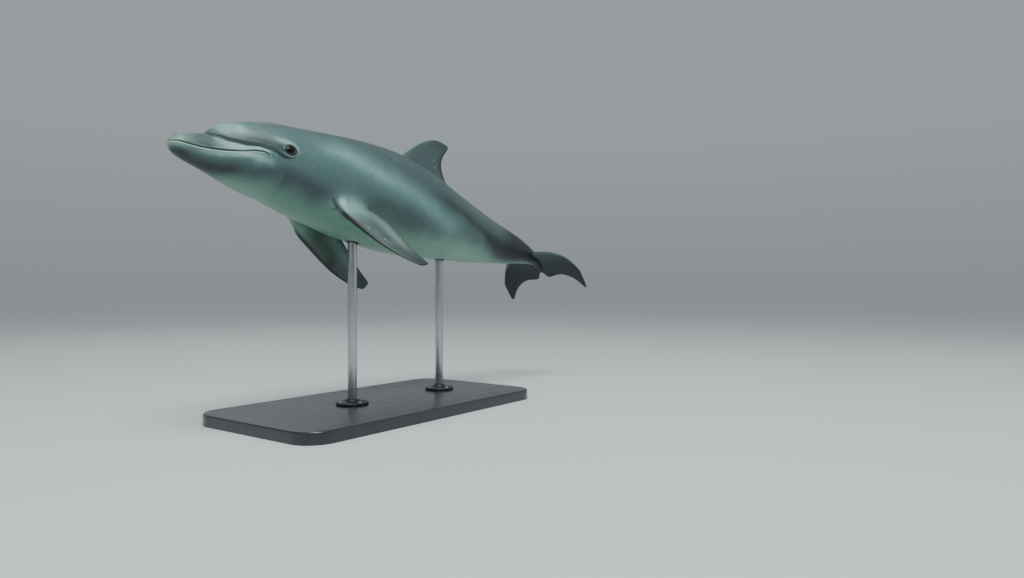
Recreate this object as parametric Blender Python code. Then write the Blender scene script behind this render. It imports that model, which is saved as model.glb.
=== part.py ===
"""A life-size young bottlenose dolphin on a display stand, swimming with its head up and its tail bent down.

The animal is grown as one closed surface: a ring at the beak's tip is extruded from station to station
along the spine, and each fin is extruded out of an opening left in that tube. A subdivision rounds it, and
thin gaps then part it into named pieces. The head points to -X, +Z is up, and the origin is the middle of
the base's underside. Shapes are given as shares of the body length, which runs along the spine from the
beak's tip to the fluke notch.
"""

import math

import bmesh
import bpy
import numpy as np
from mathutils import Matrix, Vector

# ---------------------------------------------------------------- driving sizes, in metres and degrees
BODY_LENGTH = 1.10
GAP = 0.0004  # between pieces that touch
TRUNK_HEIGHT = 0.44  # of the spine above the floor, at the pivot
PIVOT = 0.42  # the share of the length about which the body is pitched and rolled
PITCH = 10.1  # head up
ROLL = -3.7  # left side up
TAIL_TWIST = -9.0  # the flukes' own roll against the trunk

# ---------------------------------------------------------------- the spine and the body's outline
# Downward bend of the spine, in degrees, at shares of the length.
SPINE_BEND = (
    (0.0, -8.2), (0.2, -3.7), (0.42, 0.0), (0.66, 2.1),
    (0.85, -1.8), (0.92, 4.0), (0.965, 34.5), (1.08, 49.0),
)
# The trunk and head: share of the length, top, bottom and half width there, all as shares of the length.
BODY = (
    (0.052, 0.004, -0.0200, 0.0040),
    (0.058, 0.0170, -0.0215, 0.0130),
    (0.066, 0.0253, -0.0235, 0.0205),
    (0.080, 0.0337, -0.0270, 0.0300),
    (0.095, 0.0403, -0.0340, 0.0400),
    (0.125, 0.0499, -0.0540, 0.0545),
    (0.160, 0.0575, -0.0668, 0.0655),
    (0.200, 0.0620, -0.0775, 0.0735),
    (0.260, 0.0705, -0.0885, 0.0820),
    (0.340, 0.0830, -0.0985, 0.0870),
    (0.420, 0.0905, -0.1015, 0.0862),
    (0.500, 0.0855, -0.0955, 0.0810),
    (0.580, 0.0730, -0.0820, 0.0690),
    (0.660, 0.0642, -0.0675, 0.0525),
    (0.740, 0.0562, -0.0512, 0.0358),
    (0.820, 0.0460, -0.0372, 0.0240),
    (0.880, 0.0362, -0.0260, 0.0176),
    (0.930, 0.0222, -0.0158, 0.0138),
    (0.965, 0.0110, -0.0082, 0.0102),
    (0.986, 0.0030, -0.0030, 0.0045),
)
# The beak, which runs back under the melon and fades into the cheeks.
BEAK = (
    (0.000, -0.0008, -0.0215, 0.0125),
    (0.012, 0.0042, -0.0275, 0.0160),
    (0.035, 0.0090, -0.0364, 0.0196),
    (0.058, 0.0126, -0.0435, 0.0242),
    (0.080, 0.0110, -0.0492, 0.0350),
    (0.100, 0.0070, -0.0538, 0.0458),
    (0.125, 0.0030, -0.0588, 0.0555),
    (0.160, -0.0080, -0.0655, 0.0600),
)
NOSE_START, NOSE_ROUND = 0.0022, 0.018  # where the beak's tip begins and where it has rounded off
CREASE_BLEND = 0.0022  # how softly the melon meets the beak
# The tail stock's sections turn from ellipses to keeled lozenges.
KEEL_FROM, KEEL_TO, KEEL_POWER = 0.60, 0.80, 1.72

# ---------------------------------------------------------------- the fins
# Each outline gives, at shares of the fin's span, the leading and the trailing edge along the chord.
DORSAL = {
    "front": 0.456, "back": 0.598, "span": 0.0895, "root_half": 0.0105, "tip_half": 0.0016, "base": 0.0795,
    "edges": ((0.0, 0.456, 0.610), (0.23, 0.465, 0.583), (0.41, 0.478, 0.572), (0.58, 0.494, 0.572),
              (0.77, 0.514, 0.580), (0.90, 0.534, 0.5880), (0.97, 0.547, 0.5890), (1.0, 0.559, 0.5880)),
}
FLUKE = {
    "front": 0.900, "back": 0.986, "span": 0.1065, "root_half": 0.0062, "tip_half": 0.0012, "droop": 0.011,
    "edges": ((0.0, 0.899, 0.987), (0.04, 0.8965, 0.998), (0.10, 0.8950, 1.0045), (0.18, 0.8955, 1.003),
              (0.40, 0.9050, 1.000), (0.64, 0.931, 1.010), (0.82, 0.956, 1.027), (0.93, 0.9785, 1.045),
              (0.98, 0.989, 1.0478), (1.0, 0.995, 1.0430)),
}
FLIPPER = {
    "front": 0.253, "back": 0.315, "span": 0.182, "root_half": 0.0105, "tip_half": 0.0017,
    "edges": ((0.0, -0.026, 0.028), (0.10, -0.027, 0.035), (0.30, -0.0258, 0.0405), (0.52, -0.0245, 0.0340),
              (0.74, -0.0168, 0.0262), (0.90, -0.0060, 0.0238), (0.97, 0.0020, 0.0235),
              (1.0, 0.0060, 0.0225)),
}
# How each flipper is held, in degrees: down from level, swept back, and its blade's twist about its length.
FLIPPER_POSE = {"left": (36.5, 6.5, 14.0), "right": (99.0, 50.0, -14.0)}
FLIPPER_ANGLE = -40.0  # where round the body the flippers grow, below level
FLUKE_ROOT_OUT = 0.0165  # out from the spine to where a fluke is parted from the stock
FLUKE_ROOT_GROWN = 0.0012  # how far outside the stock a fluke's first ring starts
FLIPPER_CUT = 0.009  # how far out of the skin a flipper is parted from the chest
# A fin's half thickness along its chord, as a share of the most.
FOIL = ((0.0, 0.55), (0.15, 0.92), (0.32, 1.0), (0.6, 0.78), (0.85, 0.38), (1.0, 0.16))

# ---------------------------------------------------------------- mouth, eyes, blowhole
MOUTH_LINE = ((-0.02, -0.0075), (0.004, -0.0095), (0.020, -0.0122), (0.045, -0.0142), (0.070, -0.0140),
              (0.095, -0.0115), (0.112, -0.0084), (0.120, -0.0084), (0.1285, -0.0115))
JAW_HINGE = 0.142  # the lower jaw's end, under the cheek
BEAK_END_TOP, BEAK_END_MOUTH = 0.0555, 0.084  # the crease between beak and melon, on top and at the mouth
EYE_AT, EYE_LEVEL, EYE_RADIUS, EYE_FLATTEN, EYE_DEPTH = 0.159, 0.0015, 0.0105, 0.62, 0.0042
BLOWHOLE_AT, BLOWHOLE_WIDTH, BLOWHOLE_LENGTH, BLOWHOLE_DEPTH = 0.150, 0.0105, 0.0065, 0.006

# ---------------------------------------------------------------- where the body is parted, and the stand
PARTINGS = (0.200, 0.248, 0.420, 0.620, 0.790)
SEGMENTS = ("head", "neck", "chest", "abdomen", "tail_stock_front", "tail_stock_rear")
RODS = {"front": 0.360, "rear": 0.600}  # where the rods enter the belly
ROD_RADIUS, ROD_INTO_BODY = 0.009, 0.055
BASE_SIZE, BASE_CORNER = (0.64, 0.34, 0.022), 0.05
FLANGE_RADIUS, FLANGE_HEIGHT = 0.032, 0.010

AROUND = 16  # columns round the body, a multiple of four
LEVELS = 1


def clear_scene():
    for obj in list(bpy.data.objects):
        bpy.data.objects.remove(obj)


def smooth_through(knots, x):
    """A curve through (x, value, ...) knots that never overshoots them, as tuples of values."""
    table = np.array(knots, float)
    at, values = table[:, 0], table[:, 1:]
    step = np.diff(at)[:, None]
    slope = np.diff(values, axis=0) / step
    tangent = np.zeros_like(values)
    same_way = slope[:-1] * slope[1:] > 0
    near, far = step[1:] + 2 * step[:-1], 2 * step[1:] + step[:-1]
    with np.errstate(divide="ignore", invalid="ignore"):
        harmonic = (near + far) / (far / slope[:-1] + near / slope[1:])
    tangent[1:-1] = np.where(same_way, harmonic, 0.0)
    tangent[0], tangent[-1] = slope[0], slope[-1]
    x = min(max(x, at[0]), at[-1])
    i = min(int(np.searchsorted(at, x, side="right")) - 1, len(at) - 2)
    h = step[i, 0]
    t = (x - at[i]) / h
    found = (
        (2 * t**3 - 3 * t**2 + 1) * values[i]
        + (t**3 - 2 * t**2 + t) * h * tangent[i]
        + (3 * t**2 - 2 * t**3) * values[i + 1]
        + (t**3 - t**2) * h * tangent[i + 1]
    )
    return tuple(float(v) for v in found)


def ramp(low, high, x):
    t = min(max((x - low) / (high - low), 0.0), 1.0)
    return t * t * (3 - 2 * t)


# ---------------------------------------------------------------- the posed spine
def spine_frames():
    """A list of (share, matrix) along the spine. The matrices carry (tailward, right, up) offsets."""
    count = 541
    shares = [1.08 * i / (count - 1) for i in range(count)]
    point, places = Vector((0, 0, 0)), []
    last = None
    for share in shares:
        bend = math.radians(smooth_through(SPINE_BEND, share)[0])
        ahead = Vector((math.cos(bend), 0, -math.sin(bend)))
        if last is not None:
            point = point + (ahead + last) / 2 * BODY_LENGTH * 1.08 / (count - 1)
        last = ahead
        twist = math.radians(TAIL_TWIST) * ramp(0.80, 0.99, share)
        right = Matrix.Rotation(twist, 3, ahead) @ Vector((0, 1, 0))
        places.append((point.copy(), ahead, right))
    pivot = places[min(range(count), key=lambda i: abs(shares[i] - PIVOT))][0]
    hold = (
        Matrix.Translation((0, 0, TRUNK_HEIGHT))
        @ Matrix.Rotation(math.radians(PITCH), 4, "Y")
        @ Matrix.Rotation(math.radians(ROLL), 4, "X")
        @ Matrix.Translation(-pivot)
    )
    frames = []
    for share, (where, ahead, right) in zip(shares, places):
        up = ahead.cross(right)
        local = Matrix((ahead, right, up)).transposed().to_4x4()
        frames.append((share, hold @ Matrix.Translation(where) @ local))
    return frames


FRAMES = spine_frames()


def frame_at(share):
    """The posed frame at a share of the length; past the beak's tip it runs straight on."""
    step = FRAMES[1][0]
    i = min(max(int(share / step), 0), len(FRAMES) - 2)
    start, matrix = FRAMES[i]
    return matrix @ Matrix.Translation(((share - start) * BODY_LENGTH, 0, 0))


def place(share, right, up):
    """The world point at a share of the length and at offsets that are shares of it too."""
    return frame_at(share) @ Vector((0, right * BODY_LENGTH, up * BODY_LENGTH))


# ---------------------------------------------------------------- the body's sections
def oval_reach(angle, centre, outline):
    """How far a ray from (0, centre) at this angle goes inside the oval of (top, bottom, half width)."""
    top, bottom, half = outline
    middle, tall = (top + bottom) / 2, (top - bottom) / 2
    c, s, off = math.cos(angle) / half, math.sin(angle) / tall, (centre - middle) / tall
    a, b, d = c * c + s * s, 2 * s * off, off * off - 1
    inside = b * b - 4 * a * d
    return max((-b + math.sqrt(inside)) / (2 * a), 0.0) if inside > 0 else 0.0


def soft_max(a, b, blend):
    near = max(blend - abs(a - b), 0.0)
    return max(a, b) + near * near / (4 * blend)


def section_reach(share, angle):
    """(centre height, reach) of the body at a share of the length and an angle above the right side."""
    body = smooth_through(BODY, share)
    if share >= BEAK[-1][0]:
        top, bottom, half = body
        power = 2 + (KEEL_POWER - 2) * ramp(KEEL_FROM, KEEL_TO, share)
        power += (2 - KEEL_POWER) * ramp(0.90, 0.97, share)
        across, high = abs(math.cos(angle)) / half, abs(math.sin(angle)) / ((top - bottom) / 2)
        return (top + bottom) / 2, (across**power + high**power) ** (-1 / power)
    beak = smooth_through(BEAK, share)
    away = min(max(1 - (share - NOSE_START) / (NOSE_ROUND - NOSE_START), 0.0), 0.9999)
    round_off = math.sqrt(max(1 - away**2.4, 0.0))
    joined = ramp(0.09, 0.16, share)
    centre = (beak[0] + beak[1]) / 2 * (1 - joined) + (body[0] + body[1]) / 2 * joined
    reach = oval_reach(angle, centre, beak) * round_off
    if share > BODY[0][0]:
        reach = soft_max(reach, oval_reach(angle, centre, body), CREASE_BLEND)
    return centre, reach


def surface_point(share, angle, grown=1.0):
    centre, reach = section_reach(share, angle)
    return place(share, reach * grown * math.cos(angle), centre + reach * grown * math.sin(angle))


# ---------------------------------------------------------------- growing the cage
def stations():
    """Shares of the length at which the tube has a ring, with rings at each fin's front and back."""
    spans = (
        (0.0026, 0.0052, 1), (0.0052, 0.0170, 1), (0.0170, 0.0500, 2), (0.0500, 0.0650, 2),
        (0.0650, 0.0950, 2),
        (0.0950, 0.2000, 3), (0.2000, FLIPPER["front"], 1), (FLIPPER["front"], FLIPPER["back"], 3),
        (FLIPPER["back"], DORSAL["front"], 2), (DORSAL["front"], DORSAL["back"], 4),
        (DORSAL["back"], 0.8300, 3), (0.8300, FLUKE["front"], 1), (FLUKE["front"], FLUKE["back"], 3),
    )
    found = [spans[0][0]]
    for low, high, count in spans:
        found += [low + (high - low) * (i + 1) / count for i in range(count)]
    return found


def pinched(column, share, line, fin, half, reach_in):
    """How far a column is turned so that the three at a fin's line lie on it and on the fin's two sides."""
    step = 2 * math.pi / AROUND
    nearest = round(line / step) % AROUND
    off = (column - nearest + AROUND // 2) % AROUND - AROUND // 2
    shift = line - nearest * step
    if abs(off) > 2:
        return 0.0
    weight = ramp(fin["front"] - reach_in, fin["front"], share)
    weight *= 1 - ramp(fin["back"], fin["back"] + reach_in, share)
    if abs(off) == 2:
        return shift * weight * 0.45
    return (shift + off * (half - step)) * weight


def flipper_lines():
    """The angles above the right side at which the right and the left flipper grow."""
    level = math.radians(FLIPPER_ANGLE)
    return 2 * math.pi + level, math.pi - level


def column_angle(column, share):
    """The angle of a column of the tube. Next to a fin's line the columns close up to its thickness."""
    angle = column * 2 * math.pi / AROUND
    angle += pinched(column, share, math.pi / 2, DORSAL, DORSAL["root_half"] * 1.35 / 0.085, 0.05)
    for line in flipper_lines():
        angle += pinched(column, share, line, FLIPPER, FLIPPER["root_half"] * 1.35 / 0.085, 0.03)
    return angle


def ring_edges(loop):
    edges = []
    for i, vert in enumerate(loop):
        after = loop[(i + 1) % len(loop)]
        edges.append(next(e for e in vert.link_edges if e.other_vert(vert) is after))
    return edges


def grow(bm, loop, targets):
    """Extrudes a closed loop of vertices and moves the new loop to the targets, vertex for vertex."""
    made = bmesh.ops.extrude_edge_only(bm, edges=ring_edges(loop))["geom"]
    fresh = {v for v in made if isinstance(v, bmesh.types.BMVert)}
    new_loop = []
    for vert, target in zip(loop, targets):
        mate = next(e.other_vert(vert) for e in vert.link_edges if e.other_vert(vert) in fresh)
        mate.co = target
        new_loop.append(mate)
    return new_loop


def fin_ring(fin, steps, share, carry):
    """One loop round a fin at a share of its span: the front, one side, the back and the other side."""
    lead, trail = smooth_through(fin["edges"], share)
    thick = fin["root_half"] + (fin["tip_half"] - fin["root_half"]) * share**0.75
    chord = trail - lead
    thick = min(thick, 0.16 * chord + 0.0006)
    side = []
    for i in range(steps + 1):
        c = i / steps
        side.append((lead + chord * c, thick * smooth_through(FOIL, c)[0]))
    front, back = (lead - 0.02 * chord, 0.0), (trail + 0.012 * chord, 0.0)
    loop = [front] + side + [back] + [(c, -t) for c, t in reversed(side)]
    return [carry(share, c, t) for c, t in loop]


def open_fin(bm, rings, column, first, last):
    """Removes the tube's faces at a fin's root and returns the loop round the hole, front vertex first."""
    above, below = (column + 1) % AROUND, (column - 1) % AROUND
    hole = []
    for i in range(first, last):
        for low, high in ((below, column), (column, above)):
            quad = {rings[i][low], rings[i][high], rings[i + 1][low], rings[i + 1][high]}
            hole.append(next(f for f in rings[i][low].link_faces if set(f.verts) == quad))
    loop = [rings[first][column]] + [rings[i][above] for i in range(first, last + 1)]
    loop += [rings[last][column]] + [rings[i][below] for i in range(last, first - 1, -1)]
    bmesh.ops.delete(bm, geom=hole, context="FACES_KEEP_BOUNDARY")
    return loop


def grow_fin(bm, loop, fin, spans, carry):
    steps = (len(loop) - 4) // 2
    for share in spans:
        loop = grow(bm, loop, fin_ring(fin, steps, share, carry))
    bm.faces.new(loop)


def dorsal_carry(share, along, across):
    """The dorsal fin stands up out of the back's line; across is to the left of its loop."""
    follow = smooth_through(BODY, along)[0] + 0.09 * share
    upright = DORSAL["base"] + DORSAL["span"] * share
    return place(along, -across, follow + (upright - follow) * ramp(0.0, 0.45, share))


def fluke_carry(side):
    """A fluke runs out level from the stock's side and droops toward its tip."""
    def carry(share, along, across):
        root = smooth_through(BODY, min(along, BODY[-1][0]))[2] + FLUKE_ROOT_GROWN
        out = root + (FLUKE["span"] - root) * share
        return place(along, side * out, side * across - FLUKE["droop"] * share**3)

    return carry


def flipper_root(side):
    """(frame of the body there, offset of a flipper's root from the spine, direction out of the skin)."""
    middle = (FLIPPER["front"] + FLIPPER["back"]) / 2
    angle = flipper_lines()[0 if side > 0 else 1]
    centre, reach = section_reach(middle, angle)
    root = Vector((0, reach * math.cos(angle), centre + reach * math.sin(angle))) * BODY_LENGTH
    return frame_at(middle), root, Vector((0, math.cos(angle), math.sin(angle)))


def flipper_frame(side):
    """A frame at a flipper's root: along its span, back along its chord and out of its upper face."""
    down, sweep, twist = (math.radians(v) for v in FLIPPER_POSE["left" if side < 0 else "right"])
    body, root, _ = flipper_root(side)
    out = Vector((0, side * math.cos(down), -math.sin(down)))
    face = Vector((0, side * math.sin(down), math.cos(down)))
    span = out * math.cos(sweep) + Vector((1, 0, 0)) * math.sin(sweep)
    chord = Vector((1, 0, 0)) * math.cos(sweep) - out * math.sin(sweep)
    turn = Matrix.Rotation(-twist * side, 3, span)
    local = Matrix((span, turn @ chord, turn @ face)).transposed().to_4x4()
    return body @ Matrix.Translation(root) @ local


def flipper_carry(side):
    frame = flipper_frame(side)

    def carry(share, along, across):
        out = FLIPPER["span"] * share
        return frame @ (Vector((out, along, side * across)) * BODY_LENGTH)

    return carry


def whole_dolphin():
    """The body and its fins as one closed cage, before it is rounded."""
    at = stations()
    swell = 1 / (2 / 3 + math.cos(2 * math.pi / AROUND) / 3)  # subdividing draws a ring in by this much
    bm = bmesh.new()
    first = bmesh.ops.create_circle(bm, cap_ends=False, radius=0.01, segments=AROUND)["verts"]
    loop, rings = list(first), []
    for i, share in enumerate(at):
        targets = [surface_point(share, column_angle(c, share), swell) for c in range(AROUND)]
        if i == 0:
            for vert, target in zip(loop, targets):
                vert.co = target
        else:
            loop = grow(bm, loop, targets)
        rings.append(loop)
    bm.faces.new(rings[0])
    bm.faces.new(rings[-1])

    def station_of(share):
        return min(range(len(at)), key=lambda i: abs(at[i] - share))

    step = 2 * math.pi / AROUND
    right, left = (round(line / step) for line in flipper_lines())
    fluke_spans = (0.04, 0.2, 0.42, 0.64, 0.82, 0.94, 1.0)
    flipper_spans = (0.06, 0.24, 0.48, 0.72, 0.9, 1.0)
    jobs = [
        (AROUND // 4, DORSAL, (0.08, 0.32, 0.58, 0.80, 0.94, 1.0), dorsal_carry),
        (0, FLUKE, fluke_spans, fluke_carry(1)),
        (AROUND // 2, FLUKE, fluke_spans, fluke_carry(-1)),
        (right, FLIPPER, flipper_spans, flipper_carry(1)),
        (left, FLIPPER, flipper_spans, flipper_carry(-1)),
    ]
    for column, fin, spans, carry in jobs:
        hole = open_fin(bm, rings, column % AROUND, station_of(fin["front"]), station_of(fin["back"]))
        grow_fin(bm, hole, fin, spans, carry)
    bmesh.ops.recalc_face_normals(bm, faces=bm.faces)
    return bm


# ---------------------------------------------------------------- objects, cutters and materials
def material(name, colour, roughness, metallic=0.0):
    made = bpy.data.materials.get(name)
    if made is None:
        made = bpy.data.materials.new(name)
        made.use_nodes = True
        shader = made.node_tree.nodes["Principled BSDF"]
        shader.inputs["Base Color"].default_value = (*colour, 1)
        shader.inputs["Roughness"].default_value = roughness
        shader.inputs["Metallic"].default_value = metallic
    return made


def skin():
    return material("skin", (0.23, 0.27, 0.28), 0.42)


def eye_surface():
    return material("eye", (0.012, 0.010, 0.010), 0.08)


def stand_paint():
    return material("stand_black", (0.025, 0.026, 0.028), 0.45)


def stand_steel():
    return material("stand_steel", (0.55, 0.56, 0.57), 0.28, 1.0)


def to_object(name, bm, surface, hidden=False):
    mesh = bpy.data.meshes.new(name)
    bm.to_mesh(mesh)
    bm.free()
    obj = bpy.data.objects.new(name, mesh)
    bpy.context.scene.collection.objects.link(obj)
    obj.data.materials.append(surface)
    if hidden:
        obj.hide_render = True
        obj.display_type = "WIRE"
    return obj


def shaded(obj):
    obj.data.shade_smooth()
    obj.data.set_sharp_from_angle(angle=math.radians(40))
    return obj


def baked(obj, name=None):
    """The object's mesh with its modifiers applied, as a new object in its place."""
    graph = bpy.context.evaluated_depsgraph_get()
    mesh = bpy.data.meshes.new_from_object(obj.evaluated_get(graph))
    made = bpy.data.objects.new(name or obj.name, mesh)
    bpy.context.scene.collection.objects.link(made)
    return made


def boolean(obj, cutter, operation, name):
    """A new object: obj cut by, or kept inside, the cutter."""
    modifier = obj.modifiers.new(operation.lower(), "BOOLEAN")
    modifier.operation, modifier.object, modifier.solver = operation, cutter, "EXACT"
    made = baked(obj, name)
    obj.modifiers.remove(modifier)
    return made


def block(name, frame, low, high):
    """A box cutter between two corners in a frame, in metres."""
    bm = bmesh.new()
    size = [h - l for l, h in zip(low, high)]
    middle = [(h + l) / 2 for l, h in zip(low, high)]
    scaled = Matrix.Diagonal((*size, 1))
    bmesh.ops.create_cube(bm, size=1, matrix=frame @ Matrix.Translation(middle) @ scaled)
    return to_object(name, bm, skin(), hidden=True)


def side_prism(name, outline, half_width):
    """A closed prism across the body: an outline of (share, height) points carried by the posed spine."""
    bm = bmesh.new()
    loop = bmesh.ops.create_circle(bm, cap_ends=False, radius=1, segments=len(outline))["verts"]
    for vert, (share, height) in zip(loop, outline):
        vert.co = place(share, -half_width, height)
    far = grow(bm, loop, [place(share, half_width, height) for share, height in outline])
    bm.faces.new(loop)
    bm.faces.new(far)
    bmesh.ops.recalc_face_normals(bm, faces=bm.faces)
    return to_object(name, bm, skin(), hidden=True)


def part_off(rest, inner, outer, name):
    """Takes what lies in the inner cutter off rest as its own piece, and cuts rest back by the outer one."""
    piece = boolean(rest, inner, "INTERSECT", name)
    left = boolean(rest, outer, "DIFFERENCE", rest.name + "_")
    bpy.data.objects.remove(rest)
    return piece, left


# ---------------------------------------------------------------- parting the fins
def dorsal_cutter(name, lift):
    frame = frame_at((DORSAL["front"] + DORSAL["back"]) / 2)
    tilt = math.atan2(smooth_through(BODY, 0.47)[0] - smooth_through(BODY, 0.59)[0], 0.12)
    level = smooth_through(BODY, 0.53)[0] * BODY_LENGTH + 0.004 + lift
    frame = frame @ Matrix.Translation((0, 0, level)) @ Matrix.Rotation(tilt, 4, "Y")
    return block(name, frame, (-0.12, -0.05, 0), (0.12, 0.05, 0.16))


def fluke_cutter(name, side, lift):
    frame = frame_at(0.97)
    inner, outer = FLUKE_ROOT_OUT * BODY_LENGTH + lift, 0.25
    low, high = (inner, outer) if side > 0 else (-outer, -inner)
    return block(name, frame, (-0.086, low, -0.12), (0.16, high, 0.12))


def flipper_cutter(name, side, lift):
    body, root, out = flipper_root(side)
    tail = Vector((1, 0, 0))
    local = Matrix((out, tail, out.cross(tail))).transposed().to_4x4()
    frame = body @ Matrix.Translation(root) @ local
    return block(name, frame, (FLIPPER_CUT + lift, -0.14, -0.14), (0.26, 0.20, 0.14))


def part_fins(rest):
    jobs = [("dorsal_fin", dorsal_cutter, ())]
    for side, word in ((-1, "left"), (1, "right")):
        jobs.append((f"fluke_{word}", fluke_cutter, (side,)))
        jobs.append((f"flipper_{word}", flipper_cutter, (side,)))
    pieces = []
    for name, cutter, args in jobs:
        inner = cutter(name + "_inner", *args, GAP)
        outer = cutter(name + "_outer", *args, 0.0)
        piece, rest = part_off(rest, inner, outer, name)
        pieces.append(piece)
    return pieces, rest


# ---------------------------------------------------------------- parting the body across
def part_body(rest):
    pieces = []
    edges = (-0.05, *PARTINGS, 1.2)
    for i, name in enumerate(SEGMENTS):
        bm = bmesh.new()
        bm.from_mesh(rest.data)
        for share, side in ((edges[i], 1), (edges[i + 1], -1)):
            if not 0 < share < 1:
                continue
            frame = frame_at(share)
            ahead = (frame.to_3x3() @ Vector((1, 0, 0))).normalized()
            point = frame.to_translation() + ahead * GAP / 2 * side
            geom = bm.verts[:] + bm.edges[:] + bm.faces[:]
            bmesh.ops.bisect_plane(
                bm, geom=geom, plane_co=point, plane_no=ahead * side, clear_inner=True, clear_outer=False,
                dist=1e-6,
            )
            open_edges = [e for e in bm.edges if e.is_boundary]
            bmesh.ops.holes_fill(bm, edges=open_edges, sides=0)
        bmesh.ops.recalc_face_normals(bm, faces=bm.faces)
        pieces.append(to_object(name, bm, skin()))
    bpy.data.objects.remove(rest)
    return pieces


# ---------------------------------------------------------------- jaws, eyes and blowhole
def mouth_height(share):
    return smooth_through(MOUTH_LINE, share)[0]


def mouth_outline(offset, end):
    """Points along the mouth line from in front of the beak to an end, moved up by offset in metres."""
    count = 10
    shares = [-0.02 + (end + 0.02) * i / count for i in range(count + 1)]
    return [(share, mouth_height(min(share, MOUTH_LINE[-1][0])) + offset / BODY_LENGTH) for share in shares]


def jaw_prism(name, shrink):
    line = mouth_outline(-shrink, JAW_HINGE - shrink / BODY_LENGTH)
    return side_prism(name, line + [(JAW_HINGE - shrink / BODY_LENGTH + 0.012, -0.09), (-0.02, -0.09)], 0.09)


def beak_prism(name, shrink):
    """The beak above the mouth line: its rear edge slants from the crease on top down to the mouth."""
    small = shrink / BODY_LENGTH
    rear = [(BEAK_END_MOUTH - small, -0.09), (BEAK_END_MOUTH - small, mouth_height(BEAK_END_MOUTH) - 0.001)]
    top = BEAK_END_TOP - small
    rear += [(top + 0.008, 0.004), (top, 0.0135), (top, 0.06)]
    return side_prism(name, [(-0.02, -0.09)] + rear + [(-0.02, 0.06)], 0.09)


def eye_frame(side):
    """A frame on the head's surface at an eye, whose Z axis points out of the head."""
    level = EYE_LEVEL
    centre, _ = section_reach(EYE_AT, 0)
    angle = math.atan2(level - centre, 0.065)
    angle = angle if side > 0 else math.pi - angle
    here = surface_point(EYE_AT, angle)
    ahead = surface_point(EYE_AT - 0.004, angle) - here
    higher = surface_point(EYE_AT, angle + side * 0.06) - here
    out = higher.cross(ahead) * side
    out = -out.normalized() if out.y * side < 0 else out.normalized()
    forward = (ahead - out * ahead.dot(out)).normalized()
    up = out.cross(forward)
    return Matrix.Translation(here) @ Matrix((forward, up, out)).transposed().to_4x4()


def eyeball(name, side, extra):
    bm = bmesh.new()
    radius = EYE_RADIUS + extra
    frame = eye_frame(side) @ Matrix.Translation((0, 0, -EYE_DEPTH))
    shape = Matrix.Diagonal((radius, radius * 0.86, radius * EYE_FLATTEN + extra, 1))
    bmesh.ops.create_uvsphere(bm, u_segments=14, v_segments=8, radius=1, matrix=frame @ shape)
    return to_object(name, bm, eye_surface(), hidden=extra > 0)


def blowhole_plug_cutter(name, extra):
    bm = bmesh.new()
    frame = frame_at(BLOWHOLE_AT)
    top = surface_point(BLOWHOLE_AT, math.pi / 2)
    frame = Matrix.Translation(top) @ frame.to_3x3().to_4x4()
    depth = BLOWHOLE_DEPTH + extra
    size = (BLOWHOLE_LENGTH + extra, BLOWHOLE_WIDTH + extra, 1)
    bmesh.ops.create_cone(
        bm, cap_ends=True, segments=16, radius1=1, radius2=1, depth=0.03,
        matrix=frame @ Matrix.Translation((0, 0, 0.015 - depth)) @ Matrix.Diagonal((*size, 1)),
    )
    return to_object(name, bm, skin(), hidden=True)


def part_head(head):
    lower, rest = part_off(head, jaw_prism("jaw_inner", GAP), jaw_prism("jaw_outer", 0.0), "lower_jaw")
    upper, rest = part_off(rest, beak_prism("beak_inner", GAP), beak_prism("beak_outer", 0.0), "upper_beak")
    plug, rest = part_off(
        rest,
        blowhole_plug_cutter("plug_inner", 0.0),
        blowhole_plug_cutter("plug_outer", GAP),
        "blowhole_plug",
    )
    pieces = [lower, upper, plug]
    for side, word in ((-1, "left"), (1, "right")):
        socket = eyeball(f"eye_socket_{word}", side, GAP)
        cut = boolean(rest, socket, "DIFFERENCE", "head_")
        bpy.data.objects.remove(rest)
        rest = cut
        pieces.append(eyeball(f"eye_{word}", side, 0.0))
    rest.name = "head"
    pieces.append(rest)
    return pieces


# ---------------------------------------------------------------- the stand
def rounded_plate():
    long, wide, thick = BASE_SIZE
    bm = bmesh.new()
    bmesh.ops.create_cube(
        bm, size=1, matrix=Matrix.Translation((0, 0, thick / 2)) @ Matrix.Diagonal((long, wide, thick, 1))
    )
    upright = [e for e in bm.edges if abs((e.verts[0].co - e.verts[1].co).normalized().z) > 0.9]
    bmesh.ops.bevel(
        bm, geom=upright, offset=BASE_CORNER, offset_type="OFFSET", segments=6, profile=0.5, affect="EDGES",
        material=-1,
    )
    rim = [e for e in bm.edges if all(v.co.z > thick * 0.9 for v in e.verts) and len(e.link_faces) == 2]
    bmesh.ops.bevel(
        bm, geom=rim, offset=0.003, offset_type="OFFSET", segments=2, profile=0.5, affect="EDGES",
        material=-1,
    )
    return to_object("stand_base", bm, stand_paint())


def upright_cylinder(name, x, low, high, radius, surface, hidden=False, segments=20):
    bm = bmesh.new()
    matrix = Matrix.Translation((x, 0, (low + high) / 2))
    bmesh.ops.create_cone(
        bm, cap_ends=True, segments=segments, radius1=radius, radius2=radius, depth=high - low, matrix=matrix
    )
    return to_object(name, bm, surface, hidden)


def rod_places():
    """(word, x, height of the belly there) for each rod, straight under the spine."""
    found = []
    for word, share in RODS.items():
        belly = surface_point(share, -math.pi / 2)
        found.append((word, belly.x, belly.z))
    return found


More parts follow.
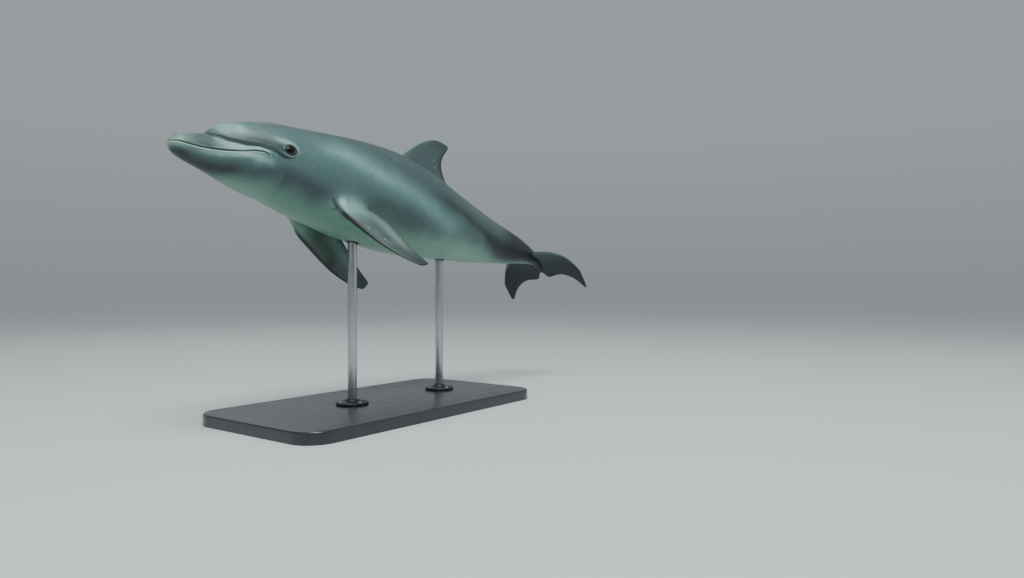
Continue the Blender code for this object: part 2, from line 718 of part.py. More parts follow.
def build_stand():
    plate = BASE_SIZE[2]
    pieces = [rounded_plate()]
    for word, x, belly in rod_places():
        top = belly + ROD_INTO_BODY
        rod = upright_cylinder(f"stand_rod_{word}", x, plate + GAP, top, ROD_RADIUS, stand_steel())
        flange = upright_cylinder(
            f"stand_flange_{word}", x, plate + GAP, plate + GAP + FLANGE_HEIGHT, FLANGE_RADIUS,
            stand_paint(), segments=24,
        )
        hole = upright_cylinder(
            f"flange_hole_{word}", x, plate - 0.01, top, ROD_RADIUS + GAP, stand_paint(), True
        )
        bored = boolean(flange, hole, "DIFFERENCE", f"flange_{word}")
        bpy.data.objects.remove(flange)
        bored.name = f"stand_flange_{word}"
        pieces += [rod, bored]
    return pieces


def bore_sockets(pieces):
    """Cuts a blind hole for each rod's end in the pieces of the trunk that it enters."""
    finished = []
    for piece in pieces:
        for word, x, belly in rod_places():
            low = [min(v.co[k] for v in piece.data.vertices) for k in range(3)]
            high = [max(v.co[k] for v in piece.data.vertices) for k in range(3)]
            if low[0] < x < high[0] and piece.name in ("chest", "abdomen"):
                drill = upright_cylinder(
                    f"socket_{word}_{piece.name}", x, belly - 0.05, belly + ROD_INTO_BODY + GAP,
                    ROD_RADIUS + GAP, skin(), True,
                )
                name = piece.name
                bored = boolean(piece, drill, "DIFFERENCE", name + "_bored")
                bpy.data.objects.remove(piece)
                bored.name = name
                piece = bored
        finished.append(piece)
    return finished


def main():
    clear_scene()
    cage = to_object("cage", whole_dolphin(), skin(), hidden=True)
    rounding = cage.modifiers.new("round", "SUBSURF")
    rounding.levels = rounding.render_levels = LEVELS
    whole = baked(cage, "whole")
    whole.data.materials.clear()
    whole.data.materials.append(skin())
    bpy.data.objects.remove(cage)
    fins, rest = part_fins(whole)
    segments = bore_sockets(part_body(rest))
    head = next(o for o in segments if o.name == "head")
    segments = [o for o in segments if o is not head]
    pieces = fins + segments + part_head(head) + build_stand()
    for obj in pieces:
        shaded(obj)


main()
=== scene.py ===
# %% [markdown]
# # A young bottlenose dolphin on its display stand
# A museum makes such an animal as one hollow cast with a painted skin, glass eyes and a steel stand. Here
# the imported model gives the pieces' places and sizes, and this lesson grows one fine skin over all the
# pieces of flesh. It then carves the face, paints the pigment with some painted highlights and shade, sets
# the eyes and finishes the stand.

# %% Load the imported model
import math

import bmesh
import bpy
import numpy as np
from mathutils import Matrix, Vector, noise


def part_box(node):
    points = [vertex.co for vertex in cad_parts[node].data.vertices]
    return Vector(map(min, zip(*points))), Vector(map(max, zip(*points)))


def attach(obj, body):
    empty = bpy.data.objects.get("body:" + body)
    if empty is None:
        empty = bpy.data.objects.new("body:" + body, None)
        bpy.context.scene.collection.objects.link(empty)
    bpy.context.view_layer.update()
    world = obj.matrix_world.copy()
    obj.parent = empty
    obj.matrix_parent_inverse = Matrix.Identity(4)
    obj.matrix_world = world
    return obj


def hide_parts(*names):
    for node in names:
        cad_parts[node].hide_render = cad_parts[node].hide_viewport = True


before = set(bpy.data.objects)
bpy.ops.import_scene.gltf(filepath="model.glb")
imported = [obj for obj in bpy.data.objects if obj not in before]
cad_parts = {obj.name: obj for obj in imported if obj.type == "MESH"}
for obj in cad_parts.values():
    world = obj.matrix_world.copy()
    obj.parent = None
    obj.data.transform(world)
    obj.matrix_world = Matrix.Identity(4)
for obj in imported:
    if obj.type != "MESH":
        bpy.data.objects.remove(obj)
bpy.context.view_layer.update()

# %% [markdown]
# ## Colours, nodes and objects
# Paint shops and screens give colours as sRGB, but a renderer mixes light in linear values, so one function
# turns a hex value to linear. One more adds a node, sets it and links it, which keeps every material short.
# A third turns a finished bmesh into an object.

# %% Small helpers
def colour(hex_value):
    """An sRGB hex value such as "4a5b62" as linear red, green, blue and alpha."""
    parts = [int(hex_value[i:i + 2], 16) / 255 for i in (0, 2, 4)]
    linear = [c / 12.92 if c <= 0.04045 else ((c + 0.055) / 1.055) ** 2.4 for c in parts]
    return (*linear, 1.0)


def add(tree, kind, inputs=None, **settings):
    """Adds a shader node. An input is a value, another node's output, or a node, for its first output."""
    node = tree.nodes.new("ShaderNode" + kind)
    for name, value in settings.items():
        setattr(node, name, value)
    for name, value in (inputs or {}).items():
        if isinstance(value, bpy.types.Node):
            value = value.outputs[0]
        if isinstance(value, bpy.types.NodeSocket):
            tree.links.new(value, node.inputs[name])
        else:
            node.inputs[name].default_value = value
    return node


def new_material(name):
    made = bpy.data.materials.new(name)
    made.use_nodes = True
    made.node_tree.nodes.clear()
    return made, made.node_tree


def as_object(name, bm):
    made = bpy.data.objects.new(name, bpy.data.meshes.new(name))
    bm.to_mesh(made.data)
    bm.free()
    bpy.context.scene.collection.objects.link(made)
    return made


print("colour('808080') is", [round(c, 3) for c in colour("808080")])

# %% [markdown]
# ## The posed spine
# A dolphin swims by bending in the up-and-down plane, so its pose is one curve: the downward bend at each
# share of the body's length. The skin is drawn on a straight chart of (share of length, right, up) and the
# spine carries each point of it to its place. The whole body is then pitched head up and rolled a little.

# %% The bend along the spine, and the frames that carry the chart
LENGTH = 1.10  # metres along the spine, beak tip to fluke notch
MM = LENGTH * 1000  # millimetres in one length
TRUNK_HEIGHT, PIVOT = 0.44, 0.42  # metres from the floor up to the spine, at this share of the length
PITCH, ROLL, TAIL_TWIST = 10.1, -3.7, -9.0  # degrees: head up, left side up, and the flukes' own roll
TWIST_ZONE = (0.80, 0.99)  # shares of the length over which the tail twists
SPINE_END, FRAME_COUNT = 1.08, 541  # the spine runs on past the notch, to the flukes' tips
# How steeply the spine runs down, in degrees, at shares of the length.
SPINE_BEND = ((0.0, -8.2), (0.2, -3.7), (0.42, 0.0), (0.66, 2.1), (0.85, -1.8), (0.92, 4.0), (0.965, 34.5),
              (SPINE_END, 49.0))


def through(knots, x):
    """A smooth curve through (x, value, ...) knots that never overshoots them, at one x or many."""
    table = np.array(knots, float)
    at, values = table[:, 0], table[:, 1:]
    step = np.diff(at)[:, None]
    slope = np.diff(values, axis=0) / step
    tangent = np.zeros_like(values)
    near, far = step[1:] + 2 * step[:-1], 2 * step[1:] + step[:-1]
    with np.errstate(divide="ignore", invalid="ignore"):
        harmonic = (near + far) / (far / slope[:-1] + near / slope[1:])
    tangent[1:-1] = np.where(slope[:-1] * slope[1:] > 0, harmonic, 0.0)
    tangent[0], tangent[-1] = slope[0], slope[-1]
    flat = np.clip(np.atleast_1d(np.asarray(x, float)), at[0], at[-1])
    i = np.clip(np.searchsorted(at, flat, side="right") - 1, 0, len(at) - 2)
    h = step[i]
    t = (flat - at[i])[:, None] / h
    found = (2 * t**3 - 3 * t**2 + 1) * values[i] + (t**3 - 2 * t**2 + t) * h * tangent[i]
    found += (3 * t**2 - 2 * t**3) * values[i + 1] + (t**3 - t**2) * h * tangent[i + 1]
    return found if np.ndim(x) else found[0]


def ramp(low, high, x):
    """0 below low, 1 above high and a smooth S between, for numbers and arrays."""
    t = np.clip((np.asarray(x, float) - low) / (high - low), 0.0, 1.0)
    return t * t * (3 - 2 * t)


def spine_frames():
    """Shares of the length, and the posed frame at each."""
    shares = np.linspace(0, SPINE_END, FRAME_COUNT)
    bends = np.radians(through(SPINE_BEND, shares)[:, 0])
    point, places = Vector((0, 0, 0)), []
    for i, (share, bend) in enumerate(zip(shares, bends)):
        ahead = Vector((math.cos(bend), 0, -math.sin(bend)))
        if i:
            point = point + (ahead + places[-1][1]) / 2 * LENGTH * (shares[1] - shares[0])
        twist = math.radians(TAIL_TWIST) * float(ramp(*TWIST_ZONE, share))
        places.append((point.copy(), ahead, Matrix.Rotation(twist, 3, ahead) @ Vector((0, 1, 0))))
    pivot = places[int(np.argmin(abs(shares - PIVOT)))][0]
    hold = Matrix.Translation((0, 0, TRUNK_HEIGHT)) @ Matrix.Rotation(math.radians(PITCH), 4, "Y")
    hold = hold @ Matrix.Rotation(math.radians(ROLL), 4, "X") @ Matrix.Translation(-pivot)
    frames = []
    for where, ahead, right in places:
        local = Matrix((ahead, right, ahead.cross(right))).transposed().to_4x4()
        frames.append(hold @ Matrix.Translation(where) @ local)
    return shares, frames


SHARES, FRAMES = spine_frames()
SPACING = SHARES[1]  # from frame to frame


def frame_at(share):
    """The posed frame at a share of the length: its axes run tailward, right and up."""
    i = min(max(int(share / SPACING), 0), len(FRAMES) - 2)
    return FRAMES[i] @ Matrix.Translation(((share - SHARES[i]) * LENGTH, 0, 0))


def place(share, right, up):
    return frame_at(share) @ Vector((0, right * LENGTH, up * LENGTH))


for name, share in (("beak tip", 0.0), ("fluke notch", 0.99)):
    print(name, [round(v, 3) for v in place(share, 0, 0)])

# %% [markdown]
# ## The body's sections
# Each section is an oval: its top, bottom and half width are read off the animal's side and top outlines.
# The head is two ovals, the beak's and the melon's, and where both exist the outer one wins. That gives the
# sharp crease where the melon stands on the beak, which no single oval can. The tail stock is keeled, so
# its sections turn to lozenges.

# %% Body and beak outlines: share of the length, top, bottom and half width, all as shares of the length
BODY = (
    (0.052, 0.004, -0.0200, 0.0040), (0.058, 0.0170, -0.0215, 0.0130), (0.066, 0.0253, -0.0235, 0.0205),
    (0.080, 0.0337, -0.0270, 0.0300), (0.095, 0.0403, -0.0340, 0.0400), (0.125, 0.0499, -0.0540, 0.0545),
    (0.160, 0.0575, -0.0668, 0.0655), (0.200, 0.0620, -0.0775, 0.0735), (0.260, 0.0705, -0.0885, 0.0820),
    (0.340, 0.0830, -0.0985, 0.0870), (0.420, 0.0905, -0.1015, 0.0862), (0.500, 0.0855, -0.0955, 0.0810),
    (0.580, 0.0730, -0.0820, 0.0690), (0.660, 0.0642, -0.0675, 0.0525), (0.740, 0.0562, -0.0512, 0.0358),
    (0.820, 0.0460, -0.0372, 0.0240), (0.880, 0.0362, -0.0260, 0.0176), (0.930, 0.0222, -0.0158, 0.0138),
    (0.965, 0.0110, -0.0082, 0.0102), (0.986, 0.0030, -0.0030, 0.0045),
)
BEAK = (
    (0.000, -0.0008, -0.0215, 0.0125), (0.012, 0.0042, -0.0275, 0.0160), (0.035, 0.0090, -0.0364, 0.0196),
    (0.058, 0.0126, -0.0435, 0.0242), (0.080, 0.0110, -0.0492, 0.0350), (0.100, 0.0070, -0.0538, 0.0458),
    (0.125, 0.0030, -0.0588, 0.0555), (0.160, -0.0080, -0.0655, 0.0600),
)
MOUTH_LINE = ((-0.02, -0.0075), (0.004, -0.0095), (0.020, -0.0122), (0.045, -0.0142), (0.070, -0.0140),
              (0.095, -0.0115), (0.112, -0.0084), (0.120, -0.0084), (0.1285, -0.0115))
NOSE_START, NOSE_ROUND, NOSE_POWER = 0.0022, 0.018, 2.4  # where the tip's rounding runs, and how blunt it is
CREASE_BLEND = 0.0022  # how softly the melon meets the beak
CHEEKS = (0.09, 0.16)  # where the sections' middle goes over from the beak's to the body's
KEEL_GROWS, KEEL_FADES, KEEL_POWER = (0.60, 0.80), (0.90, 0.97), 1.72  # a power of 2 is an oval, 1 a lozenge


def oval_reach(angle, centre, outline):
    """How far a ray from (0, centre) goes inside the oval of (top, bottom, half width)."""
    top, bottom, half = outline
    tall = (top - bottom) / 2
    c, s, off = math.cos(angle) / half, math.sin(angle) / tall, (centre - (top + bottom) / 2) / tall
    a, b, d = c * c + s * s, 2 * s * off, off * off - 1
    inside = b * b - 4 * a * d
    return max((-b + math.sqrt(inside)) / (2 * a), 0.0) if inside > 0 else 0.0


def section_reach(share, angle):
    """(centre height, reach) of the body's surface at a share of the length and an angle above the right."""
    body = through(BODY, share)
    if share >= BEAK[-1][0]:
        top, bottom, half = body
        power = 2 + (KEEL_POWER - 2) * float(ramp(*KEEL_GROWS, share) - ramp(*KEEL_FADES, share))
        across, high = abs(math.cos(angle)) / half, abs(math.sin(angle)) / ((top - bottom) / 2)
        return (top + bottom) / 2, (across**power + high**power) ** (-1 / power)
    beak = through(BEAK, share)
    away = min(max(1 - (share - NOSE_START) / (NOSE_ROUND - NOSE_START), 0.0), 0.9999)
    joined = float(ramp(*CHEEKS, share))
    centre = (beak[0] + beak[1]) / 2 * (1 - joined) + (body[0] + body[1]) / 2 * joined
    reach = oval_reach(angle, centre, beak) * math.sqrt(1 - away**NOSE_POWER)
    if share > BODY[0][0]:
        melon = oval_reach(angle, centre, body)
        near = max(CREASE_BLEND - abs(reach - melon), 0.0)
        reach = max(reach, melon) + near * near / (4 * CREASE_BLEND)
    return centre, reach


def surface_point(share, angle, grown=1.0):
    centre, reach = section_reach(share, angle)
    return place(share, reach * grown * math.cos(angle), centre + reach * grown * math.sin(angle))


girth = [section_reach(PIVOT, math.radians(a))[1] * MM for a in range(0, 360, 5)]
print("girth at the deepest section, mm:", round(sum(girth) / len(girth) * 2 * math.pi))

# %% [markdown]
# ## The fins
# A dorsal fin, a fluke and a flipper are all foils: an outline of leading and trailing edge, blunt in
# front, thickest a third of the way back and thin behind. The left flipper is held out and back; the right
# one is folded under.

# %% Fin outlines: at shares of the span, the leading and the trailing edge, as shares of the body's length
DORSAL = {
    "front": 0.456, "back": 0.598, "span": 0.0895, "root_half": 0.0105, "tip_half": 0.0016, "base": 0.0795,
    "rise": 0.09, "upright_from": 0.45,
    "edges": ((0.0, 0.456, 0.610), (0.23, 0.465, 0.583), (0.41, 0.478, 0.572), (0.58, 0.494, 0.572),
              (0.77, 0.514, 0.580), (0.90, 0.534, 0.5880), (0.97, 0.547, 0.5890), (1.0, 0.559, 0.5880)),
}
FLUKE = {
    "front": 0.900, "back": 0.986, "span": 0.1065, "root_half": 0.0062, "tip_half": 0.0012, "droop": 0.011,
    "root_grown": 0.0012,
    "edges": ((0.0, 0.899, 0.987), (0.04, 0.8965, 0.998), (0.10, 0.8950, 1.0045), (0.18, 0.8955, 1.003),
              (0.40, 0.9050, 1.000), (0.64, 0.931, 1.010), (0.82, 0.956, 1.027), (0.93, 0.9785, 1.045),
              (0.98, 0.989, 1.0478), (1.0, 0.995, 1.0430)),
}
FLIPPER = {
    "front": 0.253, "back": 0.315, "span": 0.182, "root_half": 0.0105, "tip_half": 0.0017,
    "edges": ((0.0, -0.026, 0.028), (0.10, -0.027, 0.035), (0.30, -0.0258, 0.0405), (0.52, -0.0245, 0.0340),
              (0.74, -0.0168, 0.0262), (0.90, -0.0060, 0.0238), (0.97, 0.0020, 0.0235),
              (1.0, 0.0060, 0.0225)),
}
FLIPPER_POSE = {-1: (36.5, 6.5, 14.0), 1: (99.0, 50.0, -14.0)}  # down, swept back, twisted; -1 is the left
FLIPPER_ANGLE = math.radians(-40.0)  # where round the body the flippers grow, from level
# Half thickness along the chord.
FOIL = ((0.0, 0.55), (0.15, 0.92), (0.32, 1.0), (0.6, 0.78), (0.85, 0.38), (1.0, 0.16))
FOIL_TAPER, FOIL_NOSE, FOIL_TAIL = 0.75, 0.02, 0.012  # how it thins outward, and how its edges round out
STUB, LEAST = 0.16, 0.0006  # a short chord's half thickness is at most this share of it, and this more


def fin_ring(fin, steps, share, carry):
    """One loop round a fin: the front, one side, the back and the other side."""
    lead, trail = through(fin["edges"], share)
    chord = trail - lead
    thick = fin["root_half"] + (fin["tip_half"] - fin["root_half"]) * share**FOIL_TAPER
    thick = min(thick, STUB * chord + LEAST)
    side = [(lead + chord * i / steps, thick * through(FOIL, i / steps)[0]) for i in range(steps + 1)]
    loop = [(lead - FOIL_NOSE * chord, 0.0)] + side + [(trail + FOIL_TAIL * chord, 0.0)]
    return [carry(share, c, t) for c, t in loop + [(c, -t) for c, t in reversed(side)]]


def dorsal_carry(share, along, across):
    """Near its root the dorsal fin's ring follows the back, and further out the fin's own upright."""
    follow = through(BODY, along)[0] + DORSAL["rise"] * share
    upright = DORSAL["base"] + DORSAL["span"] * share
    turn = float(ramp(0.0, DORSAL["upright_from"], share))
    return place(along, -across, follow + (upright - follow) * turn)


def fluke_carry(side):
    def carry(share, along, across):
        root = through(BODY, min(along, BODY[-1][0]))[2] + FLUKE["root_grown"]
        out = root + (FLUKE["span"] - root) * share
        return place(along, side * out, side * across - FLUKE["droop"] * share**3)

    return carry


def flipper_line(side):
    return 2 * math.pi + FLIPPER_ANGLE if side > 0 else math.pi - FLIPPER_ANGLE


def flipper_frame(side):
    """A frame at a flipper's root: along its span, back along its chord and out of its upper face."""
    down, sweep, twist = (math.radians(v) for v in FLIPPER_POSE[side])
    middle, angle = (FLIPPER["front"] + FLIPPER["back"]) / 2, flipper_line(side)
    centre, reach = section_reach(middle, angle)
    root = Vector((0, reach * math.cos(angle), centre + reach * math.sin(angle))) * LENGTH
    out = Vector((0, side * math.cos(down), -math.sin(down)))
    face = Vector((0, side * math.sin(down), math.cos(down)))
    span = out * math.cos(sweep) + Vector((1, 0, 0)) * math.sin(sweep)
    chord = Vector((1, 0, 0)) * math.cos(sweep) - out * math.sin(sweep)
    turn = Matrix.Rotation(-twist * side, 3, span)
    local = Matrix((span, turn @ chord, turn @ face)).transposed().to_4x4()
    return frame_at(middle) @ Matrix.Translation(root) @ local


def flipper_carry(side):
    held = flipper_frame(side)

    def carry(share, along, across):
        return held @ (Vector((FLIPPER["span"] * share, along, side * across)) * LENGTH)

    return carry


print("left flipper's tip", [round(v, 3) for v in flipper_carry(-1)(1.0, 0.018, 0.0)])

# %% [markdown]
# ## Growing the skin
# A circle at the beak's tip is extruded ring by ring along the spine. On the head one column of the tube
# follows the mouth line exactly and its neighbours crowd round it, so the lips get a fine mesh where they
# need it. Each fin is extruded out of an opening left in the tube, so fin and body are one surface with a
# natural fillet.

# %% The rings' stations and columns
AROUND = 36  # columns round the body, a multiple of four
STEP = 2 * math.pi / AROUND
SPANS = (  # from, to and how many rings between
    (0.0026, 0.0052, 1), (0.0052, 0.0170, 3), (0.0170, 0.0500, 5), (0.0500, 0.0700, 5), (0.0700, 0.0950, 4),
    (0.0950, 0.2000, 14), (0.2000, FLIPPER["front"], 4), (FLIPPER["front"], FLIPPER["back"], 6),
    (FLIPPER["back"], DORSAL["front"], 8), (DORSAL["front"], DORSAL["back"], 8),
    (DORSAL["back"], 0.8300, 10),
    (0.8300, FLUKE["front"], 4), (FLUKE["front"], FLUKE["back"], 6),
)
STATIONS = [SPANS[0][0]]
for low, high, count in SPANS:
    STATIONS += [low + (high - low) * (i + 1) / count for i in range(count)]
# The columns near a fin's line lean to it: the line, the fin, how far before and behind it, and how much by
# column.
FIN_LINES = ((math.pi / 2, DORSAL, 0.05), (flipper_line(1), FLIPPER, 0.03),
             (flipper_line(-1), FLIPPER, 0.03))
LEAN = (1.0, 1.0, 0.66, 0.33)
HEAD_FADES, CROWDING = (0.17, 0.25), 0.65  # where the columns stop crowding to the mouth, and how strongly


def mouth_height(share):
    return through(MOUTH_LINE, share)[..., 0]


def mouth_angle(share):
    """The angle on the right side at which the skin is as high as the mouth line."""
    angle, height = -0.1, float(mouth_height(share))
    for _ in range(8):
        centre, reach = section_reach(share, angle)
        angle = math.asin(min(max((height - centre) / reach, -0.95), 0.95))
    return angle


def column_angle(column, share, mouth):
    angle = column * STEP
    for line, fin, margin in FIN_LINES:
        nearest = round(line / STEP) % AROUND
        off = abs((column - nearest + AROUND // 2) % AROUND - AROUND // 2)
        weight = float(ramp(fin["front"] - margin, fin["front"], share))
        weight *= 1 - float(ramp(fin["back"], fin["back"] + margin, share))
        angle += (line - nearest * STEP) * weight * (LEAN[off] if off < len(LEAN) else 0.0)
    head = 1 - float(ramp(*HEAD_FADES, share))
    if head > 0:
        wrapped = math.atan2(math.sin(angle), math.cos(angle))
        side = 1 if math.cos(angle) >= -1e-9 else -1
        local = wrapped if side > 0 else math.copysign(math.pi, wrapped) - wrapped
        t = abs(local) / (math.pi / 2)
        crowd = (1 - CROWDING) * t + CROWDING * t * t
        target = mouth + (math.copysign(math.pi / 2, local) - mouth) * crowd
        local += (target - local) * head
        angle = local if side > 0 else math.pi - local
    return angle


print(len(STATIONS), "rings of", AROUND, "columns")


# %% Growing the cage
FIN_RINGS = {  # where a fin's rings stand, as shares of its span
    "dorsal": (0.05, 0.15, 0.28, 0.42, 0.56, 0.70, 0.82, 0.91, 0.97, 1.0),
    "fluke": (0.03, 0.07, 0.13, 0.22, 0.34, 0.47, 0.60, 0.72, 0.83, 0.91, 0.97, 1.0),
    "flipper": (0.05, 0.14, 0.27, 0.42, 0.57, 0.71, 0.83, 0.92, 0.975, 1.0),
}


def grow(bm, loop, targets):
    """Extrudes a closed loop of vertices and moves the new loop to the targets, vertex for vertex."""
    edges = [bm.edges.get((vert, loop[(i + 1) % len(loop)])) for i, vert in enumerate(loop)]
    made = bmesh.ops.extrude_edge_only(bm, edges=edges)["geom"]
    fresh = {v for v in made if isinstance(v, bmesh.types.BMVert)}
    grown = []
    for vert, target in zip(loop, targets):
        mate = next(e.other_vert(vert) for e in vert.link_edges if e.other_vert(vert) in fresh)
        mate.co = target
        grown.append(mate)
    return grown


def open_fin(bm, rings, column, first, last):
    """Removes the tube's faces at a fin's root and returns the loop round the hole, front vertex first."""
    above, below = (column + 1) % AROUND, (column - 1) % AROUND
    hole = []
    for i in range(first, last):
        for low, high in ((below, column), (column, above)):
            quad = {rings[i][low], rings[i][high], rings[i + 1][low], rings[i + 1][high]}
            hole.append(next(f for f in rings[i][low].link_faces if set(f.verts) == quad))
    loop = [rings[first][column]] + [rings[i][above] for i in range(first, last + 1)]
    loop += [rings[last][column]] + [rings[i][below] for i in range(last, first - 1, -1)]
    bmesh.ops.delete(bm, geom=hole, context="FACES_KEEP_BOUNDARY")
    return loop


def grow_skin_cage():
    swell = 1 / (2 / 3 + math.cos(STEP) / 3)  # rounding draws a ring in by this much
    bm = bmesh.new()
    out = bm.verts.layers.float.new("fin_out")  # how far out along its fin a vertex is
    loop = list(bmesh.ops.create_circle(bm, cap_ends=False, radius=0.01, segments=AROUND)["verts"])
    rings = []
    for share in STATIONS:
        mouth = mouth_angle(share) if share < HEAD_FADES[1] else 0.0
        targets = [surface_point(share, column_angle(c, share, mouth), swell) for c in range(AROUND)]
        if rings:
            loop = grow(bm, loop, targets)
        for vert, target in zip(loop, targets):
            vert.co = target
        rings.append(loop)
    bm.faces.new(rings[0])
    bm.faces.new(rings[-1])
    jobs = [(AROUND // 4, DORSAL, FIN_RINGS["dorsal"], dorsal_carry)]
    for side in (1, -1):
        jobs.append((0 if side > 0 else AROUND // 2, FLUKE, FIN_RINGS["fluke"], fluke_carry(side)))
        jobs.append((round(flipper_line(side) / STEP), FLIPPER, FIN_RINGS["flipper"], flipper_carry(side)))
    for column, fin, spans, carry in jobs:
        ends = [min(range(len(STATIONS)), key=lambda i: abs(STATIONS[i] - fin[end]))
                for end in ("front", "back")]
        loop = open_fin(bm, rings, column % AROUND, *ends)
        steps = (len(loop) - 4) // 2
        for share in spans:
            loop = grow(bm, loop, fin_ring(fin, steps, share, carry))
            for vert in loop:
                vert[out] = share
        bm.faces.new(loop)
    bmesh.ops.recalc_face_normals(bm, faces=bm.faces)
    return bm


cage = as_object("skin_cage", grow_skin_cage())
rounding = cage.modifiers.new("rounding", "SUBSURF")
rounding.levels = rounding.render_levels = 2
rounded = bpy.data.meshes.new_from_object(cage.evaluated_get(bpy.context.evaluated_depsgraph_get()))
bpy.data.objects.remove(cage)
print("rounded skin:", len(rounded.polygons), "faces, attributes", [a.name for a in rounded.attributes])


# %% Softening the skin round the flippers' roots
ROOT_ZONE = np.array((30.0, 52.0, 34.0))  # mm along the span, the chord and the thickness


def read_points(mesh):
    points = np.empty(len(mesh.vertices) * 3)
    mesh.vertices.foreach_get("co", points)
    return points.reshape(-1, 3)


def in_frame(points, held):
    """Points in a frame's own axes, in millimetres."""
    inverse = np.array(held.inverted())
    return (points @ inverse[:3, :3].T + inverse[:3, 3]) * 1000


bm = bmesh.new()
bm.from_mesh(rounded)
bm.verts.ensure_lookup_table()
points = read_points(rounded)
for side in (-1, 1):
    off = np.linalg.norm(in_frame(points, flipper_frame(side)) / ROOT_ZONE, axis=1)
    for limit in (1.0, 0.9, 0.8, 0.7, 0.6):  # the nearer to the root, the more often it is smoothed
        soft = [bm.verts[i] for i in np.flatnonzero(off < limit)]
        for _ in range(5):
            bmesh.ops.smooth_vert(bm, verts=soft, factor=0.5, use_axis_x=True, use_axis_y=True,
                                  use_axis_z=True)
print("softened", len(soft), "vertices at the last root")
bm.to_mesh(rounded)
bm.free()

# %% [markdown]
# ## A chart of the skin
# To carve a mouth or paint a stripe, each point of the skin needs its place on the straight chart again.
# The nearest spine frame gives it, blended with the next frame so that the chart has no steps.

# %% Finding every vertex on the chart
SKIP = 6  # the nearest of every sixth frame is found first, and then stepped on from


def chart_of(points):
    """(share, right, up) of each point, all as shares of the length."""
    origins = np.array([f.translation for f in FRAMES])
    axes = np.array([f.to_3x3() for f in FRAMES])
    index = np.concatenate([
        np.argmin(((part[:, None] - origins[None, ::SKIP]) ** 2).sum(2), axis=1) * SKIP
        for part in np.array_split(points, 40)
    ])
    for _ in range(6):
        ahead = np.einsum("ij,ij->i", points - origins[index], axes[index][:, :, 0])
        index = np.clip(index + np.floor(ahead / LENGTH / SPACING).astype(int), 0, len(FRAMES) - 2)
    pair = []
    for i in (index, index + 1):
        local = np.einsum("ijk,ij->ik", axes[i], points - origins[i]) / LENGTH
        pair.append(np.column_stack((SHARES[i] + local[:, 0], local[:, 1], local[:, 2])))
    part = np.clip((pair[0][:, 0] - SHARES[index]) / SPACING, 0, 1)[:, None]
    return pair[0] * (1 - part) + pair[1] * part


def line_distance(points, line):
    """Distance to a line of points, share of the way along it and height above it, for 2-D points."""
    line = np.array(line, float)
    best = np.full(len(points), 1e9)
    along, above = np.zeros(len(points)), np.zeros(len(points))
    for i in range(len(line) - 1):
        a, ab = line[i], line[i + 1] - line[i]
        t = np.clip(((points - a) @ ab) / (ab @ ab), 0, 1)
        off = points - a - t[:, None] * ab
        distance = np.hypot(off[:, 0], off[:, 1])
        closer = distance < best
        best = np.where(closer, distance, best)
        along = np.where(closer, (i + t) / (len(line) - 1), along)
        above = np.where(closer, off[:, 1], above)
    return best, along, above


def bump(distance, width):
    return np.exp(-((distance / width) ** 2))


def on_chart(line):
    """A line of (share, up) points in millimetres."""
    return [(x * MM, z * MM) for x, z in line]


chart = chart_of(read_points(rounded))
print("chart runs from", chart.min(0).round(3), "to", chart.max(0).round(3))

# %% [markdown]
# ## Finer mesh where the face needs it
# Lids, lips and the blowhole are folds a millimetre or two wide, so the mesh there is split until its edges
# are well under a millimetre. Elsewhere the skin is smooth and the coarser mesh is enough.

# %% The eyes' frames
EYE_AT, EYE_LEVEL, EYE_OUT = 0.159, 0.0015, 0.065  # share of the length, height, and how far out to seek it
EYE_OPENING = (8.4, 6.2)  # half length and half height between the lids, mm


def eye_frame(side):
    """A frame on the skin at an eye: forward, up and out of the head."""
    centre, _ = section_reach(EYE_AT, 0)
    angle = math.atan2(EYE_LEVEL - centre, EYE_OUT)
    angle = angle if side > 0 else math.pi - angle
    here = surface_point(EYE_AT, angle)
    ahead = surface_point(EYE_AT - 0.004, angle) - here
    higher = surface_point(EYE_AT, angle + side * 0.06) - here
    out = higher.cross(ahead) * side
    out = -out.normalized() if out.y * side < 0 else out.normalized()
    forward = (ahead - out * ahead.dot(out)).normalized()
    return Matrix.Translation(here) @ Matrix((forward, out.cross(forward) * side, out)).transposed().to_4x4()


def eye_round(local):
    """1 on the edge of the eye's opening, less inside it; the opening is an almond."""
    a, b = np.abs(local[:, 0]) / EYE_OPENING[0], np.abs(local[:, 1]) / EYE_OPENING[1]
    return (a**1.7 + b**2.0) ** 0.53


print("left eye at", [round(v, 3) for v in eye_frame(-1).translation])

# %% Splitting the mesh round eyes, mouth, groove and blowhole
BLOWHOLE_AT = 0.150
MELON_GROOVE = ((0.0560, 0.0130), (0.0590, 0.0104), (0.0685, 0.0072), (0.0762, 0.0030), (0.0876, 0.0008),
                (0.0990, -0.0012), (0.1161, -0.0008), (0.1295, -0.0034), (0.1390, -0.0070))


def split_where(mesh, wanted):
    """Splits each face whose middle is wanted into four; wanted reads (points, charts) of the middles."""
    bm = bmesh.new()
    bm.from_mesh(mesh)
    middles = np.array([f.calc_center_median() for f in bm.faces])
    chosen = wanted(middles, chart_of(middles))
    edges = {e for f, take in zip(bm.faces, chosen) if take for e in f.edges}
    bmesh.ops.subdivide_edges(bm, edges=list(edges), cuts=1, use_grid_fill=True, smooth=0.0)
    bm.to_mesh(mesh)
    bm.free()


def near_eye(limit):
    """Wants what is within so many millimetres of an eye's middle."""
    def wanted(points, charts):
        found = np.zeros(len(points), bool)
        for side in (-1, 1):
            local = in_frame(points, eye_frame(side))
            found |= (np.hypot(local[:, 0], local[:, 1] * 1.2) < limit) & (abs(local[:, 2]) < 18)
        return found

    return wanted


def near_mouth(points, charts):
    return (abs(charts[:, 2] - mouth_height(charts[:, 0])) * MM < 4.5) & (charts[:, 0] < 0.137)


